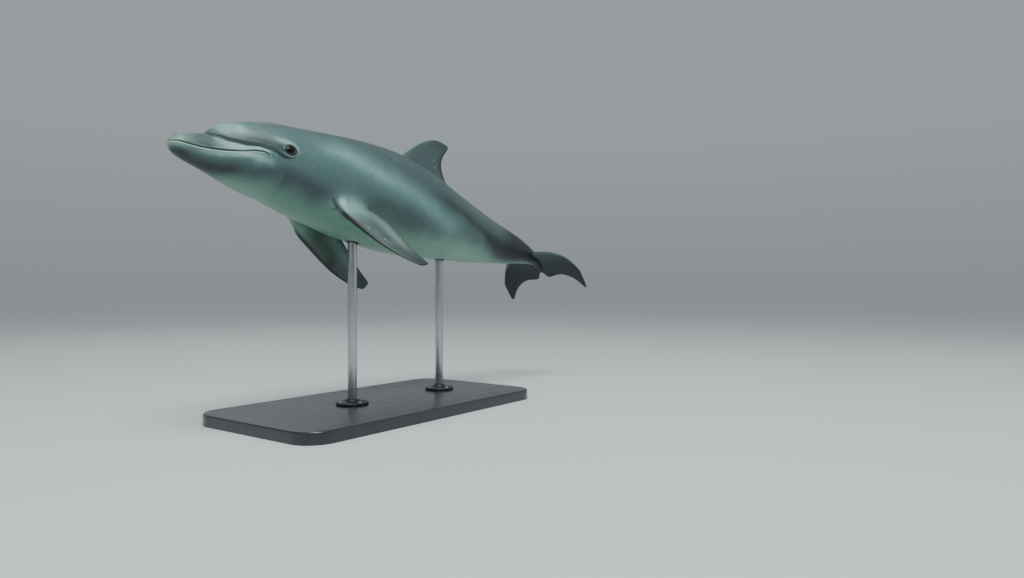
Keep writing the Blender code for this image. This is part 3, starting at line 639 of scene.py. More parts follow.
def near_groove(points, charts):
    distance, _, _ = line_distance(charts[:, (0, 2)] * MM, on_chart(MELON_GROOVE))
    return (distance < 7.0) & (charts[:, 0] < 0.16)


def near_blowhole(points, charts):
    along, across = (charts[:, 0] - BLOWHOLE_AT) * MM, charts[:, 1] * MM
    return (abs(along + 2) < 12) & (abs(across) < 18) & (charts[:, 2] > 0.03)


for wanted in (near_groove, near_eye(32), near_eye(17), near_eye(12), near_mouth, near_blowhole):
    split_where(rounded, wanted)
rounded.calc_loop_triangles()
print("skin after splitting:", len(rounded.loop_triangles), "triangles")

# %% [markdown]
# ## Carving the face
# All the marks are low relief on the smooth form: a height in millimetres at each vertex, which then moves
# along its normal. The mouth is a narrow slit with a full lower lip. A groove runs back from where the
# melon meets the beak toward the eye, with a soft pad below it. The lids are a raised rim round an opening
# that shows the eyeball.

# %% Relief of mouth, melon groove and gape
GAPE_FOLDS = (((0.1300, -0.0085), (0.1345, -0.0125), (0.1365, -0.0175)),
              ((0.1275, -0.0125), (0.1300, -0.0165), (0.1300, -0.0210)))


def fin_shares(mesh):
    """How far out along its fin each vertex is, and 0 on the body."""
    shares = np.empty(len(mesh.vertices))
    mesh.attributes["fin_out"].data.foreach_get("value", shares)
    return shares


def folds(distance, *rows):
    """Adds up soft folds across a distance; each row is a height, where it stands, and a half width."""
    return sum(tall * bump(distance - at, width) for tall, at, width in rows)


points = read_points(rounded)
normals = np.array([n.vector for n in rounded.vertex_normals])
share, right, up = chart_of(points).T
on_body = fin_shares(rounded) <= 0
side_mm = np.column_stack((share, up)) * MM
height = np.zeros(len(points))

# Mouth: the slit, a full lower lip, a slight upper one.
lip = (up - mouth_height(share)) * MM
closed = 1 - ramp(0.1250, 0.1305, share)
height += folds(lip, (-2.6, 0, 1.0), (0.9, -3.0, 1.7), (0.35, 2.6, 1.5)) * closed * on_body

# The groove between melon and beak, the pad below it and the melon's fold above it.
distance, along, above = line_distance(side_mm, on_chart(MELON_GROOVE))
on_head = (share < 0.16) & on_body
groove = (1 - ramp(0.86, 1.0, along)) * on_head
beside = (distance < 12) * groove
height += folds(distance, (-1.5, 0, 2.0)) * groove
height += folds(above, (0.9, -5.5, 3.0)) * beside * ramp(0.1, 0.3, along)
height += folds(above, (0.6, 5.0, 3.2)) * beside * ramp(0.15, 0.4, along)

# Small folds behind the corner of the mouth.
for fold in GAPE_FOLDS:
    distance, along, _ = line_distance(side_mm, on_chart(fold))
    height += folds(distance, (-0.7, 0, 1.0)) * np.sin(np.pi * np.clip(along, 0.02, 0.98)) * on_head
print("face relief from %.1f to %.1f mm" % (height.min(), height.max()))

# %% Relief of blowhole, ears, belly and neck
NAVEL_AT = 0.475
BELLY_SLITS = ((0.672, 0.019), (0.716, 0.005))  # middle and half length of each


def blowhole(share, right, up):
    """Millimetres behind the crescent slit, and 1 along the slit's length."""
    across = right * MM
    behind = (share - BLOWHOLE_AT) * MM - 3.0 + 0.040 * across**2
    return behind, (1 - ramp(8.5, 11.0, abs(across))) * (up > 0.03) * (share < 0.2)


# Blowhole: a crescent slit, its ends forward, with a low rim.
crescent, on_slit = blowhole(share, right, up)
height += folds(crescent, (-2.6, 0, 1.1), (0.8, 3.2, 2.0), (0.5, -3.0, 2.0)) * on_slit

# The ears are pinholes behind the eyes.
ear = np.hypot((share - 0.203) * MM, (up + 0.006) * MM)
height += folds(ear, (-0.7, 0, 1.6)) * on_body

# On the belly: the navel, the long slit and the small one behind it.
across_mm = abs(right) * MM
below = (up < -0.01) & on_body
navel = np.hypot((share - NAVEL_AT) * MM / 1.8, across_mm)
height += folds(navel, (-1.3, 0, 2.2), (0.5, 4.5, 2.0)) * below
for middle, half in BELLY_SLITS:
    slit = 1 - ramp(half, half + 0.006, abs(share - middle))
    height += folds(across_mm, (-1.9, 0, 1.3), (0.6, 3.6, 2.0)) * slit * below

# A shallow fold where the head joins the neck.
neck_fold = (share - 0.212 - 0.25 * (up + 0.01)) * MM
height += folds(neck_fold, (-0.5, 0, 6.0)) * (1 - ramp(0.02, 0.05, up)) * on_body
print("relief from %.1f to %.1f mm" % (height.min(), height.max()))

# %% Lids and sockets
# Millimetres forward and up from the middle of the eye.
LOWER_LID_FOLD = ((31.0, -1.0), (22.0, -7.0), (15.0, -11.0), (8.0, -13.6), (0.0, -14.8), (-8.0, -13.8))
UPPER_LID_FOLD = ((17.0, 3.0), (9.0, 10.5), (0.0, 12.8), (-9.0, 10.8), (-15.0, 4.0))
LID_RIM, LID_CREASE = (1.15, 1.12, 0.17), (-0.5, 1.5, 0.16)  # height in mm; place and width by eye_round
SOCKET_DEPTH, SOCKET_EDGE = 7.0, 0.86
points = points + normals * height[:, None] / 1000
for side in (-1, 1):
    held = eye_frame(side)
    local = in_frame(points, held)
    here = (np.hypot(local[:, 0], local[:, 1]) < 45) & (abs(local[:, 2]) < 20) & (share < 0.25)
    edge = eye_round(local)
    snap = here & (abs(edge - 1) < 0.05)
    local[snap, :2] /= edge[snap, None]
    edge = eye_round(local)
    socket = folds(1.0, LID_RIM) - SOCKET_DEPTH * ramp(1.0, SOCKET_EDGE, edge)
    lift = np.where(edge < 1.0, socket, folds(edge, LID_RIM, LID_CREASE))
    for fold, inward, depth, puff in ((LOWER_LID_FOLD, 1, 1.9, 1.0), (UPPER_LID_FOLD, -1, 0.2, 0.4)):
        distance, along, above = line_distance(local[:, :2], fold)
        fade = np.sin(np.pi * np.clip(along, 0.03, 0.97)) ** 0.6
        swelling = folds(above * inward, (puff, 3.4, 2.2)) * (distance < 8)
        lift += (folds(distance, (-depth, 0, 1.3)) + swelling) * fade * (edge > 1.2)
    local[here, 2] += lift[here]
    matrix = np.array(held)
    moved = (local / 1000) @ matrix[:3, :3].T + matrix[:3, 3]
    points = np.where(here[:, None], moved, points)
rounded.vertices.foreach_set("co", points.ravel())
rounded.update()
print("eye openings", [round(2 * v, 1) for v in EYE_OPENING], "mm")

# %% [markdown]
# ## Sockets for the stand
# The two rods run up into the belly. On the real model they sit in steel tubes cast into the body. Here the
# skin is opened round each rod: the faces inside the bore go, the edge is drawn to a true circle, and it is
# extruded upward.

# %% Boring the sockets
BORE_GAP = 0.0006  # metres between rod and socket
BORE_LOW, BORE_HIGH = 0.08, 0.02  # the pierced skin lies between these depths below a rod's top


def rod_axis(end):
    """(x, y, radius, top) of a rod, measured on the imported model."""
    low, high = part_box("stand_rod_" + end)
    return (low[0] + high[0]) / 2, (low[1] + high[1]) / 2, (high[0] - low[0]) / 2, high[2]


def near_rod(limit):
    """Wants the belly within so many metres of a rod's axis."""
    def wanted(points, charts):
        found = np.zeros(len(points), bool)
        for end in ("front", "rear"):
            x, y, _, top = rod_axis(end)
            off = np.hypot(points[:, 0] - x, points[:, 1] - y)
            found |= (off < limit) & (points[:, 2] < top - BORE_HIGH) & (points[:, 2] > top - BORE_LOW)
        return found

    return wanted


for limit in (0.018, 0.014):
    split_where(rounded, near_rod(limit))
bm = bmesh.new()
bm.from_mesh(rounded)
for end in ("front", "rear"):
    x, y, radius, top = rod_axis(end)
    bore = radius + BORE_GAP
    middles = [(f, f.calc_center_median()) for f in bm.faces]
    inside = [f for f, m in middles
              if math.hypot(m.x - x, m.y - y) < bore and top - BORE_LOW < m.z < top - BORE_HIGH]
    bmesh.ops.delete(bm, geom=inside, context="FACES")
    edge = [e for e in bm.edges if e.is_boundary]
    for vert in {v for e in edge for v in e.verts}:
        off = Vector((vert.co.x - x, vert.co.y - y))
        off *= bore / off.length
        vert.co.x, vert.co.y = x + off.x, y + off.y
    made = bmesh.ops.extrude_edge_only(bm, edges=edge)["geom"]
    for vert in made:
        if isinstance(vert, bmesh.types.BMVert):
            vert.co.z = top + BORE_GAP
    bmesh.ops.holes_fill(bm, edges=[e for e in bm.edges if e.is_boundary])
    print("socket", end, "at", round(x, 3), "with", len(edge), "sides")
bmesh.ops.recalc_face_normals(bm, faces=bm.faces)
bm.to_mesh(rounded)
bm.free()

# %% The skin as one piece in place of the pieces of flesh
skin = bpy.data.objects.new("dolphin_skin", rounded)
bpy.context.scene.collection.objects.link(skin)
skin.data.shade_smooth()
FLESH = ("upper_beak", "lower_jaw", "head", "blowhole_plug", "neck", "chest", "abdomen", "tail_stock_front",
         "tail_stock_rear", "dorsal_fin", "flipper_left", "flipper_right", "fluke_left", "fluke_right")
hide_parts(*FLESH)
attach(skin, "root")
print("skin box", [[round(v, 3) for v in corner] for corner in (points.min(0), points.max(0))])

# %% [markdown]
# ## Painting the skin
# The painter of a museum dolphin sprays soft coats one over the other: first a mid grey-green all over,
# then the dark cape, the pale blaze and the pale belly, and last the small marks of the face with a fine
# brush. Each coat here is a mask from 0 to 1 on the chart and a colour. They are mixed on the vertices,
# because the marks are soft, and stored as one colour attribute. Some coats are painted light: highlights
# where light falls, and shade under the jaw and in creases, slits and folds.

# %% The coats' tools
points = read_points(rounded)
chart = chart_of(points)
share, right, up = chart.T
fin_out = fin_shares(rounded)
drift = np.array([noise.noise(Vector(p) * 11) for p in points])  # slow waver, so that no edge is ruled
waver = np.array([noise.noise(Vector(p) * 34 + Vector((7, 3, 1))) for p in points])
free_up = up + 0.006 * drift + 0.002 * waver
side_mm = np.column_stack((share, free_up)) * MM
exact_mm = np.column_stack((share, up)) * MM
body = fin_out <= 0
head = share < 0.2
paint = np.tile(np.array(colour("5f7675")[:3]), (len(points), 1))


def spray(mask, hex_value, strength=1.0):
    """Lays a coat over the skin: fully where mask is 1, not at all where it is 0."""
    cover = (np.clip(mask, 0, 1) * strength)[:, None]
    paint[:] = paint * (1 - cover) + np.array(colour(hex_value)[:3]) * cover


def shifted(line, by):
    """A line of (share, up) knots, moved up."""
    return [(x, z + by) for x, z in line]


def under(line, soft):
    """1 below a line of (share, up) knots on the side view, 0 above, over a soft edge as wide as soft."""
    height = through(line, share)[:, 0]
    return 1 - ramp(-soft, soft, free_up - height)


def stripe(line, width, fade=0.2, where=None):
    """A soft stripe along a line, width mm to each side, its ends fading over a share of its length."""
    distance, along, _ = line_distance(side_mm if where is None else where, on_chart(line))
    return bump(distance, width) * ramp(-0.01, fade, along) * (1 - ramp(1 - fade, 1.01, along))


def zone(first, full, last, end):
    """1 between two shares of the length, fading in from first to full and out from last to end."""
    return ramp(first, full, share) * (1 - ramp(last, end, share))


print("base coat on", len(points), "vertices")

# %% The big coats of the body: belly, cape, blaze and flank
BELLY_EDGE = ((0.03, -0.038), (0.10, -0.046), (0.137, -0.053), (0.195, -0.059), (0.25, -0.066),
              (0.30, -0.071),
              (0.40, -0.074), (0.50, -0.064), (0.56, -0.046), (0.62, -0.038), (0.70, -0.040),
              (0.79, -0.0375),
              (0.84, -0.0325), (0.90, -0.0215))
CAPE_EDGE = ((0.10, 0.043), (0.15, 0.045), (0.20, 0.048), (0.27, 0.044), (0.33, 0.038), (0.38, 0.027),
             (0.42, 0.014), (0.49, -0.002), (0.562, -0.008), (0.651, -0.012), (0.752, -0.014),
             (0.855, -0.015))
SIDE_EDGE = ((0.0, 0.02), (0.3, -0.03), (0.5, -0.005), (0.7, -0.010), (0.9, -0.01))
BLAZE = ((0.195, 0.019), (0.256, 0.018), (0.332, 0.004), (0.408, -0.008), (0.492, -0.024), (0.555, -0.034),
         (0.62, -0.040))
LOW_SHADE = ((0.29, -0.046), (0.358, -0.050), (0.426, -0.053), (0.50, -0.050))
CHEEK_SHADE = ((0.080, -0.038), (0.12, -0.041), (0.155, -0.037), (0.185, -0.042), (0.215, -0.049),
               (0.25, -0.057))
FLANK_BAND = ((0.45, 0.021), (0.50, 0.014), (0.56, 0.007), (0.65, 0.001), (0.70, -0.006), (0.78, -0.009),
              (0.88, -0.008))
STOCK_SHADE = ((0.665, -0.010), (0.73, -0.019), (0.80, -0.020), (0.90, -0.012))
# A painted highlight along the top of the tail stock, where light falls from above.
STOCK_TOP_HIGHLIGHT = ((0.54, 0.046), (0.62, 0.041), (0.70, 0.036), (0.77, 0.034), (0.81, 0.032))
spray(1 - under(CAPE_EDGE, 0.018), "4c5a5a", 0.9)
# The very back.
spray(bump(up - through(BODY, share)[:, 0], 0.020) * zone(0.12, 0.18, 0.80, 0.9), "414b4a", 0.5)
spray(under(SIDE_EDGE, 0.020), "5b716f", 0.5)
spray(stripe(BLAZE, 19, 0.25), "7d9a97", 0.9)
# A brighter front to the pale blaze: a painted highlight on the upper chest.
spray(stripe(BLAZE[:4], 10, 0.35), "8fb0ab", 0.6)
spray(stripe(LOW_SHADE, 17, 0.3), "3a4b4b", 0.72)
# The pale belly, painted in a mid tone darker than its own: painted shade on the underside.
spray(under(BELLY_EDGE, 0.012), "7c9c8a")
spray(under(shifted(BELLY_EDGE, -0.016), 0.016) * zone(0.22, 0.42, 0.75, 0.86), "98b8a4", 0.85)
spray(stripe(CHEEK_SHADE, 14, 0.2), "35454a", 0.78)
# Painted highlight along the top of the tail stock.
spray(stripe(STOCK_TOP_HIGHLIGHT, 13, 0.25), "5c7071", 0.7)
spray(stripe(FLANK_BAND, 12, 0.3), "2b3838", 0.85)
spray(stripe(STOCK_SHADE, 16, 0.22), "161f20", 0.88)
stock_end = ramp(0.715, 0.805, share - 0.9 * (up + 0.01))  # the tail stock darkens along a slanting front
spray(stock_end * (1 - under(shifted(BELLY_EDGE, 0.003), 0.008)), "151d1f", 0.94)
print("body coats: lightest", paint.max().round(2), "darkest", paint.min().round(3))

# %% The coats of the dorsal fin and the flukes
def across_fin(fin, out, along):
    """The share of the way from a fin's leading to its trailing edge, at a share of its span."""
    lead, trail = through(fin["edges"], out).T
    return (along - lead) / (trail - lead)


dorsal = ~body & (up > 0.05) & (share > 0.4) & (share < 0.7)
out = np.clip((up - DORSAL["base"]) / DORSAL["span"], 0, 1)
chord = across_fin(DORSAL, out, share)
spray(dorsal * ramp(-0.1, 0.3, out), "4f5c5c", 0.85)
spray(dorsal * ramp(0.55, 1.1, out), "333d3d", 0.6)
spray(dorsal * ramp(0.84, 0.98, chord) * ramp(0.0, 0.2, out), "1f2829", 0.85)
# A painted highlight along the leading edge of the fin.
spray(dorsal * (1 - ramp(0.03, 0.14, chord)), "5d6d6c", 0.5)

outward = abs(right)
fluke = (share > 0.875) & ((outward > 0.008) | (fin_out > 0))
chord = across_fin(FLUKE, np.clip(outward / FLUKE["span"], 0, 1), share)
spray(fluke * ramp(0.875, 0.905, share), "1f292b")
spray(fluke * ramp(0.04, 0.11, outward), "171f21", 0.6)
# A painted highlight along the flukes' leading edges.
spray(fluke * ramp(0.020, 0.034, outward) * (1 - ramp(0.0, 0.06, chord)), "6d7d7a", 0.6)
keel = ((outward < 0.0065) & (up < 0)) * (1 - ramp(0.003, 0.0065, outward))
spray(keel * zone(0.84, 0.87, 0.915, 0.945), "7b9382", 0.65)
print("fin vertices:", int(dorsal.sum()), "dorsal,", int(fluke.sum()), "fluke")

# %% The flippers' coats
ROOT_CREASE_SHADOW = ((0.246, -0.053), (0.2485, -0.0575), (0.2524, -0.0631), (0.2552, -0.0684), (0.2572, -0.0735))
ROOT_HIGHLIGHT = ((0.254, -0.0615), (0.261, -0.0600), (0.268, -0.0580))
for side in (-1, 1):
    local = in_frame(points, flipper_frame(side)) / 1000 / LENGTH
    flipper = ~body & (share < 0.46) & (right * side > 0.03) & (up < 0.02)
    out = np.clip(local[:, 0] / FLIPPER["span"], 0, 1)
    chord = across_fin(FLIPPER, out, local[:, 1])
    upper = ramp(-0.001, 0.001, local[:, 2])
    shoulder = bump(np.linalg.norm((local - (0.006, -0.004, 0)) / (0.045, 0.034, 0.03), axis=1), 0.75)
    spray(flipper * ramp(0.04, 0.28, out), "535e5a", 0.94)
    # The flipper's pale root, brightened on its upper face by a painted highlight.
    spray(shoulder * upper * (right * side > 0.03), "a6c4be", 0.85)
    spray(flipper * ramp(0.2, 0.5, out) * ramp(-0.25, 0.25, drift + 0.8 * waver), "2c3230", 0.66)
    # A paler band toward the trailing edge: partly the flipper's own pale tone, partly painted highlight.
    spray(flipper * bump(chord - 0.72, 0.22) * ramp(0.1, 0.3, out) * (1 - ramp(0.6, 0.9, out)),
          "8f9f97", 0.72)
    spray(flipper * ramp(0.60, 1.0, out), "252e2d", 0.75)
    spray(flipper * (1 - ramp(0.02, 0.09, chord)) * ramp(-0.02, 0.12, out), "0f1618", 0.92)
    spray(flipper * ramp(0.955, 0.985, chord) * ramp(0.15, 0.3, out), "151d1e", 0.8)
    print("flipper", side, "has", int(flipper.sum()), "vertices")
# A painted highlight on the body at the front of the flipper's root.
spray(stripe(ROOT_HIGHLIGHT, 7, 0.3), "cfe9e1", 0.75)
# Painted shadow in the crease in front of the flipper's leading edge.
spray(stripe(ROOT_CREASE_SHADOW, 1.8, 0.14, exact_mm) * (share < 0.262), "141c1d", 0.85)

# %% The coats of the beak, melon and cheeks
MELON_HIGHLIGHT = ((0.060, 0.020), (0.083, 0.026), (0.108, 0.022))
JAW_SHADE = ((-0.005, -0.027), (0.03, -0.035), (0.07, -0.040), (0.112, -0.041))
CORNER_LIGHT = ((0.102, -0.024), (0.115, -0.0215), (0.129, -0.0195), (0.143, -0.021))
EYE_STRIPE = ((0.078, 0.0085), (0.104, 0.0065), (0.126, 0.0045), (0.150, 0.0030))
lip = (up - mouth_height(share)) * MM
open_mouth = (1 - ramp(0.1250, 0.1310, share)) * body
fine = exact_mm + np.column_stack((drift, drift)) * 0.6
spray(zone(-1, 0, 0.052, 0.062) * ramp(1, 4, lip) * body, "4d5b57", 0.78)  # the beak's top
# A painted highlight on the melon's lower front, where light falls.
spray(stripe(MELON_HIGHLIGHT, 10, 0.3), "9dbdb9", 0.85)
# Painted shade along the underside of the lower jaw.
spray(stripe(JAW_SHADE, 12.5, 0.25), "141c1c", 0.9)
# Painted shade under the chin.
spray((1 - ramp(0.012, 0.034, share)) * (1 - ramp(-10.0, -5.5, lip)), "121919", 0.8)  # the chin
spray(stripe(shifted(MELON_GROOVE, -0.0062), 4.8, 0.2) * ramp(0.058, 0.088, share), "c4e3dc", 0.92)
under_lip = stripe(shifted(MOUTH_LINE[1:], -0.0052), 4.6, 0.12, fine)
spray(under_lip * (0.3 + 0.7 * ramp(0.025, 0.075, share)), "a6c4b8", 0.88)
spray(stripe(CORNER_LIGHT, 11.5, 0.3), "7f9f99", 0.85)
spray(stripe(shifted(MELON_GROOVE, 0.0044), 4.2, 0.25), "2f3e3f", 0.62)
spray(stripe(EYE_STRIPE, 7.5, 0.4), "263234", 0.86)
# Painted shade in the groove where the melon meets the beak.
spray(stripe(shifted(MELON_GROOVE, -0.0006), 2.2, 0.06, fine), "141c1e", 0.85)
spray(bump(lip + 2.1, 2.0) * open_mouth * zone(-1, 0, 0.09, 0.126), "c9dac6", 0.85)  # the lower lip
spray(bump(lip - 1.7, 1.1) * open_mouth * zone(-1, 0, 0.03, 0.07), "a3b29a", 0.45)  # the upper lip
spray((1 - ramp(0.010, 0.045, share)) * ramp(0.5, 4, lip) * body, "93ab9c", 0.7)  # the beak's pale tip
spray((1 - ramp(0.002, 0.026, share)) * bump(lip + 1.6, 6.0), "c3d8c2", 0.85)
# Painted shade in the mouth's slit.
spray(bump(lip, 1.0) * (1 - ramp(0.1275, 0.1315, share)) * ramp(0.002, 0.016, share) * body, "080c0d", 0.97)
# Painted shade in the small folds behind the corner of the mouth.
for fold in GAPE_FOLDS:
    spray(stripe(fold, 1.0, 0.3, exact_mm) * body * head, "25322f", 0.6)
print("face coats on", int(head.sum()), "vertices")

# %% The coats round the eyes, the painted shade in the slits of blowhole and belly, and the last glaze
GLAZE = (0.655, 0.79, 0.79)  # a thin blue-green coat over all: how much red, green and blue it lets through
# Millimetres forward and up from the middle of the eye: a painted highlight on the upper lid's fold over it,
# and a painted highlight on the rim of the lower lid.
BROW_HIGHLIGHT = ((27, 18.6), (18, 16.6), (9, 15.0), (1.5, 13.5), (-6, 10.4), (-11.5, 5.2), (-15.5, -1.0))
LOWER_RIM_HIGHLIGHT = ((10, -6.0), (5, -9.6), (-1.5, -11.2), (-7, -9.8))


def eye_line(local, line, width):
    """A soft line beside the eye, faded at both ends."""
    distance, along, _ = line_distance(local[:, :2], line)
    return bump(distance, width) * np.sin(np.pi * np.clip(along, 0.02, 0.98)) ** 0.5


for side in (-1, 1):
    local = in_frame(points, eye_frame(side))
    here = (share < 0.24) & (right * side > 0) & (abs(local[:, 2]) < 25)
    off = np.hypot((local[:, 0] + 1.6) / 1.04, local[:, 1])
    ahead = bump(np.hypot((local[:, 0] - 17) / 1.7, local[:, 1] - 0.5), 8.0)
    spray(here * ahead, "243032", 0.75)
    # A painted highlight on the upper lid's fold.
    spray(here * eye_line(local, BROW_HIGHLIGHT, 4.4), "b4d3cd", 0.85)
    spray(here * (1 - ramp(8.8, 12.4, off + waver)), "0c1214", 0.96)  # the dark patch round the eye
    # A painted highlight on the rim of the lower lid.
    spray(here * eye_line(local, LOWER_RIM_HIGHLIGHT, 1.3), "93a3a1", 0.6)
    # Painted shade in the crease under the lower lid.
    spray(here * eye_line(local, LOWER_LID_FOLD, 2.3), "0c1214", 0.92)
    # The dark rim of the lids, and painted shade down inside the socket.
    spray(here * (1 - ramp(1.0, 1.16, eye_round(local))), "070a0b")
# Painted shade in the blowhole's slit.
crescent, on_slit = blowhole(share, right, up)
spray(bump(crescent, 1.3) * on_slit, "141a1b", 0.9)
# Painted shade in the slits on the belly.
for middle, half in BELLY_SLITS:
    slit = bump(right * MM, 1.4) * (1 - ramp(half, half + 0.004, abs(share - middle)))
    spray(slit * (up < 0) * body, "454e47", 0.7)
paint *= GLAZE
print("darkest paint", paint.min().round(4))

# %% Storing the paint and the chart on the skin
def store(mesh, name, kind, values):
    layer = mesh.attributes.new(name, kind, "POINT")
    field = "color" if kind == "FLOAT_COLOR" else "vector"
    layer.data.foreach_set(field, np.asarray(values, np.float32).ravel())


# The paint holds the pigment and also the painted highlights and shade.
store(rounded, "pigment_and_painted_light", "FLOAT_COLOR", np.column_stack((paint, np.ones(len(paint)))))
store(rounded, "chart_mm", "FLOAT_VECTOR", chart * MM)
print("stored", [a.name for a in rounded.attributes if not a.name.startswith(".")])

# %% [markdown]
# ## The skin's finish
# Live dolphin skin is smooth as wet rubber, with ridges finer than a millimetre running round the body and
# a few pale scratches from other dolphins' teeth. The cast is epoxy resin under airbrushed acrylic paint
# and a satin varnish: a base roughness near 0.5, an IOR of 1.5 and a thin coat a little smoother than that.
# The ridges follow the chart, so they go round the body and not across it. They are drawn 3 mm apart,
# several times too coarse, or they would not show at all.

# %% Airbrushed paint under satin varnish: mottled pigment
MOTTLE_MM, CLOUD_MM, GRAIN_MM = 9.0, 60.0, 1.6  # blotches, slow clouds of tone and the spray's own grain

satin_paint, tree = new_material("airbrushed_skin_paint")
spot = add(tree, "TexCoord").outputs["Object"]
chart_at = add(tree, "Attribute", attribute_name="chart_mm").outputs["Vector"]
pigment_and_painted_light = add(tree, "Attribute", attribute_name="pigment_and_painted_light").outputs["Color"]
cloud = add(tree, "TexNoise", {"Vector": spot, "Scale": 1000 / CLOUD_MM, "Detail": 3.0})
mottle = add(tree, "TexNoise", {"Vector": spot, "Scale": 1000 / MOTTLE_MM, "Detail": 4.0})
grain = add(tree, "TexNoise", {"Vector": spot, "Scale": 1000 / GRAIN_MM, "Detail": 2.0})
shade = 1.0
for texture, low, high, least, most in (
    (cloud, 0.3, 0.7, 0.90, 1.10), (mottle, 0.3, 0.7, 0.93, 1.07), (grain, 0.25, 0.75, 0.965, 1.035),
):
    part = add(tree, "MapRange", {0: texture, 1: low, 2: high, 3: least, 4: most})
    shade = add(tree, "Math", {0: shade, 1: part}, operation="MULTIPLY")
strong = add(tree, "MapRange", {0: mottle, 1: 0.3, 2: 0.7, 3: 1.08, 4: 0.92})
tone = add(tree, "HueSaturation", {"Color": pigment_and_painted_light, "Value": shade, "Saturation": strong})
print("mottled pigment:", len(tree.nodes), "nodes")

# %% Rakes, flecks and scars
RAKE_MM, RAKE_PATCH_MM, FLECK_MM = 4.5, 55.0, 17.0
RAKES_END = (0.84 * MM, 0.88 * MM)  # the flukes have none
# Small white scars: two on the dorsal fin and two on the left flipper, as (share, right, up) of the length.
SCARS = ((0.547, -0.0034, 0.1202), (0.5516, -0.0035, 0.1079), (0.2737, -0.1240, -0.1061),
         (0.285, -0.1519, -0.1256))


def wave_scale(spacing):
    """The Wave node's scale for bands that far apart: it draws 20 radians of wave for each unit."""
    return 2 * math.pi / 20 / spacing


# Tooth rakes: thin parallel lines a few millimetres apart, in a few small patches only.
raked = add(tree, "Mapping", {"Vector": chart_at, "Rotation": (0.0, 1.15, 0.25)})
bands = add(tree, "TexWave", {
    "Vector": raked, "Scale": wave_scale(RAKE_MM), "Distortion": 0.9, "Detail": 1.0, "Detail Scale": 0.3,
})
broken = add(tree, "Mapping", {"Vector": raked, "Scale": (1.0, 0.12, 0.12)})
broken = add(tree, "TexNoise", {"Vector": broken, "Scale": 1 / (RAKE_MM * 1.3), "Detail": 0.0})
patch = add(tree, "TexNoise", {"Vector": spot, "Scale": 1000 / RAKE_PATCH_MM, "Detail": 1.0})
along = add(tree, "SeparateXYZ", {0: chart_at})
scratch = 1.0
for texture, low, high, least, most in (
    (bands.outputs["Fac"], 0.93, 0.995, 0.0, 1.0), (broken, 0.50, 0.62, 0.0, 1.0),
    (patch, 0.62, 0.68, 0.0, 1.0),
    (along, *RAKES_END, 1.0, 0.0),
):
    part = add(tree, "MapRange", {0: texture, 1: low, 2: high, 3: least, 4: most})
    scratch = add(tree, "Math", {0: scratch, 1: part}, operation="MULTIPLY")

# Flecks: one cell in nine or so has a pale dot at its middle.
cell = add(tree, "TexVoronoi", {"Vector": spot, "Scale": 1000 / FLECK_MM})
picked = add(tree, "SeparateColor", {"Color": cell.outputs["Color"]})
picked = add(tree, "MapRange", {0: picked, 1: 0.88, 2: 0.90})
fleck = add(tree, "MapRange", {0: cell.outputs["Distance"], 1: 0.05, 2: 0.10, 3: 0.42, 4: 0.0})
fleck = add(tree, "Math", {0: fleck, 1: picked}, operation="MULTIPLY")
faint = add(tree, "Math", {0: scratch, 1: 0.40}, operation="MULTIPLY")
marks = add(tree, "Math", {0: faint, 1: fleck}, operation="MAXIMUM")
for scar in SCARS:
    off = add(tree, "VectorMath", {0: chart_at, 1: [v * MM for v in scar]}, operation="DISTANCE")
    dot = add(tree, "MapRange", {0: off.outputs["Value"], 1: 1.1, 2: 2.0, 3: 0.75, 4: 0.0})
    marks = add(tree, "Math", {0: marks, 1: dot}, operation="MAXIMUM")
tinted = add(tree, "Mix", {0: marks, 6: tone, 7: colour("a3b5b0")}, data_type="RGBA").outputs[2]
print("with rakes, flecks and scars:", len(tree.nodes), "nodes")

# %% Ridges, gloss and coat
RIDGE_MM = 3.0
ridges = add(tree, "TexWave", {
    "Vector": chart_at, "Scale": wave_scale(RIDGE_MM), "Distortion": 1.6, "Detail": 2.0, "Detail Scale": 1.0,
})
relief = 0.0
for texture, weight in ((grain, 0.35), (mottle, 0.30), (ridges.outputs["Fac"], 0.14), (scratch, -0.30)):
    relief = add(tree, "Math", {0: texture, 1: weight, 2: relief}, operation="MULTIPLY_ADD")
bumped = add(tree, "Bump", {"Height": relief, "Strength": 0.35, "Distance": 0.0004})
gloss = add(tree, "MapRange", {0: mottle, 1: 0.3, 2: 0.7, 3: 0.44, 4: 0.54})
clouded = add(tree, "MapRange", {0: cloud, 1: 0.3, 2: 0.7, 3: -0.03, 4: 0.04})
gloss = add(tree, "Math", {0: gloss, 1: clouded}, operation="ADD")
shader = add(tree, "BsdfPrincipled", {
    "Base Color": tinted, "Roughness": gloss, "IOR": 1.5, "Normal": bumped,
    "Coat Weight": 0.12, "Coat Roughness": 0.42,
})
add(tree, "OutputMaterial", {"Surface": shader})
skin.data.materials.append(satin_paint)
print(satin_paint.name, "has", len(tree.nodes), "nodes")

# %% [markdown]
# ## The eyes
# Taxidermy suppliers blow eyes from glass: a dark pupil and a brown iris painted behind a clear front. A
# dolphin's whole visible eye is nearly black, with the iris a shade lighter. Each eye is one flattened
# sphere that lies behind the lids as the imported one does, with its pattern measured from its own axis.

# %% Glass eyes
EYE_RADIUS, EYE_DEPTH = 0.0105, 0.0042  # metres, and how far its middle lies under the skin
EYE_TALL, EYE_FLATTEN = 0.86, 0.62  # its height and thickness as shares of its width


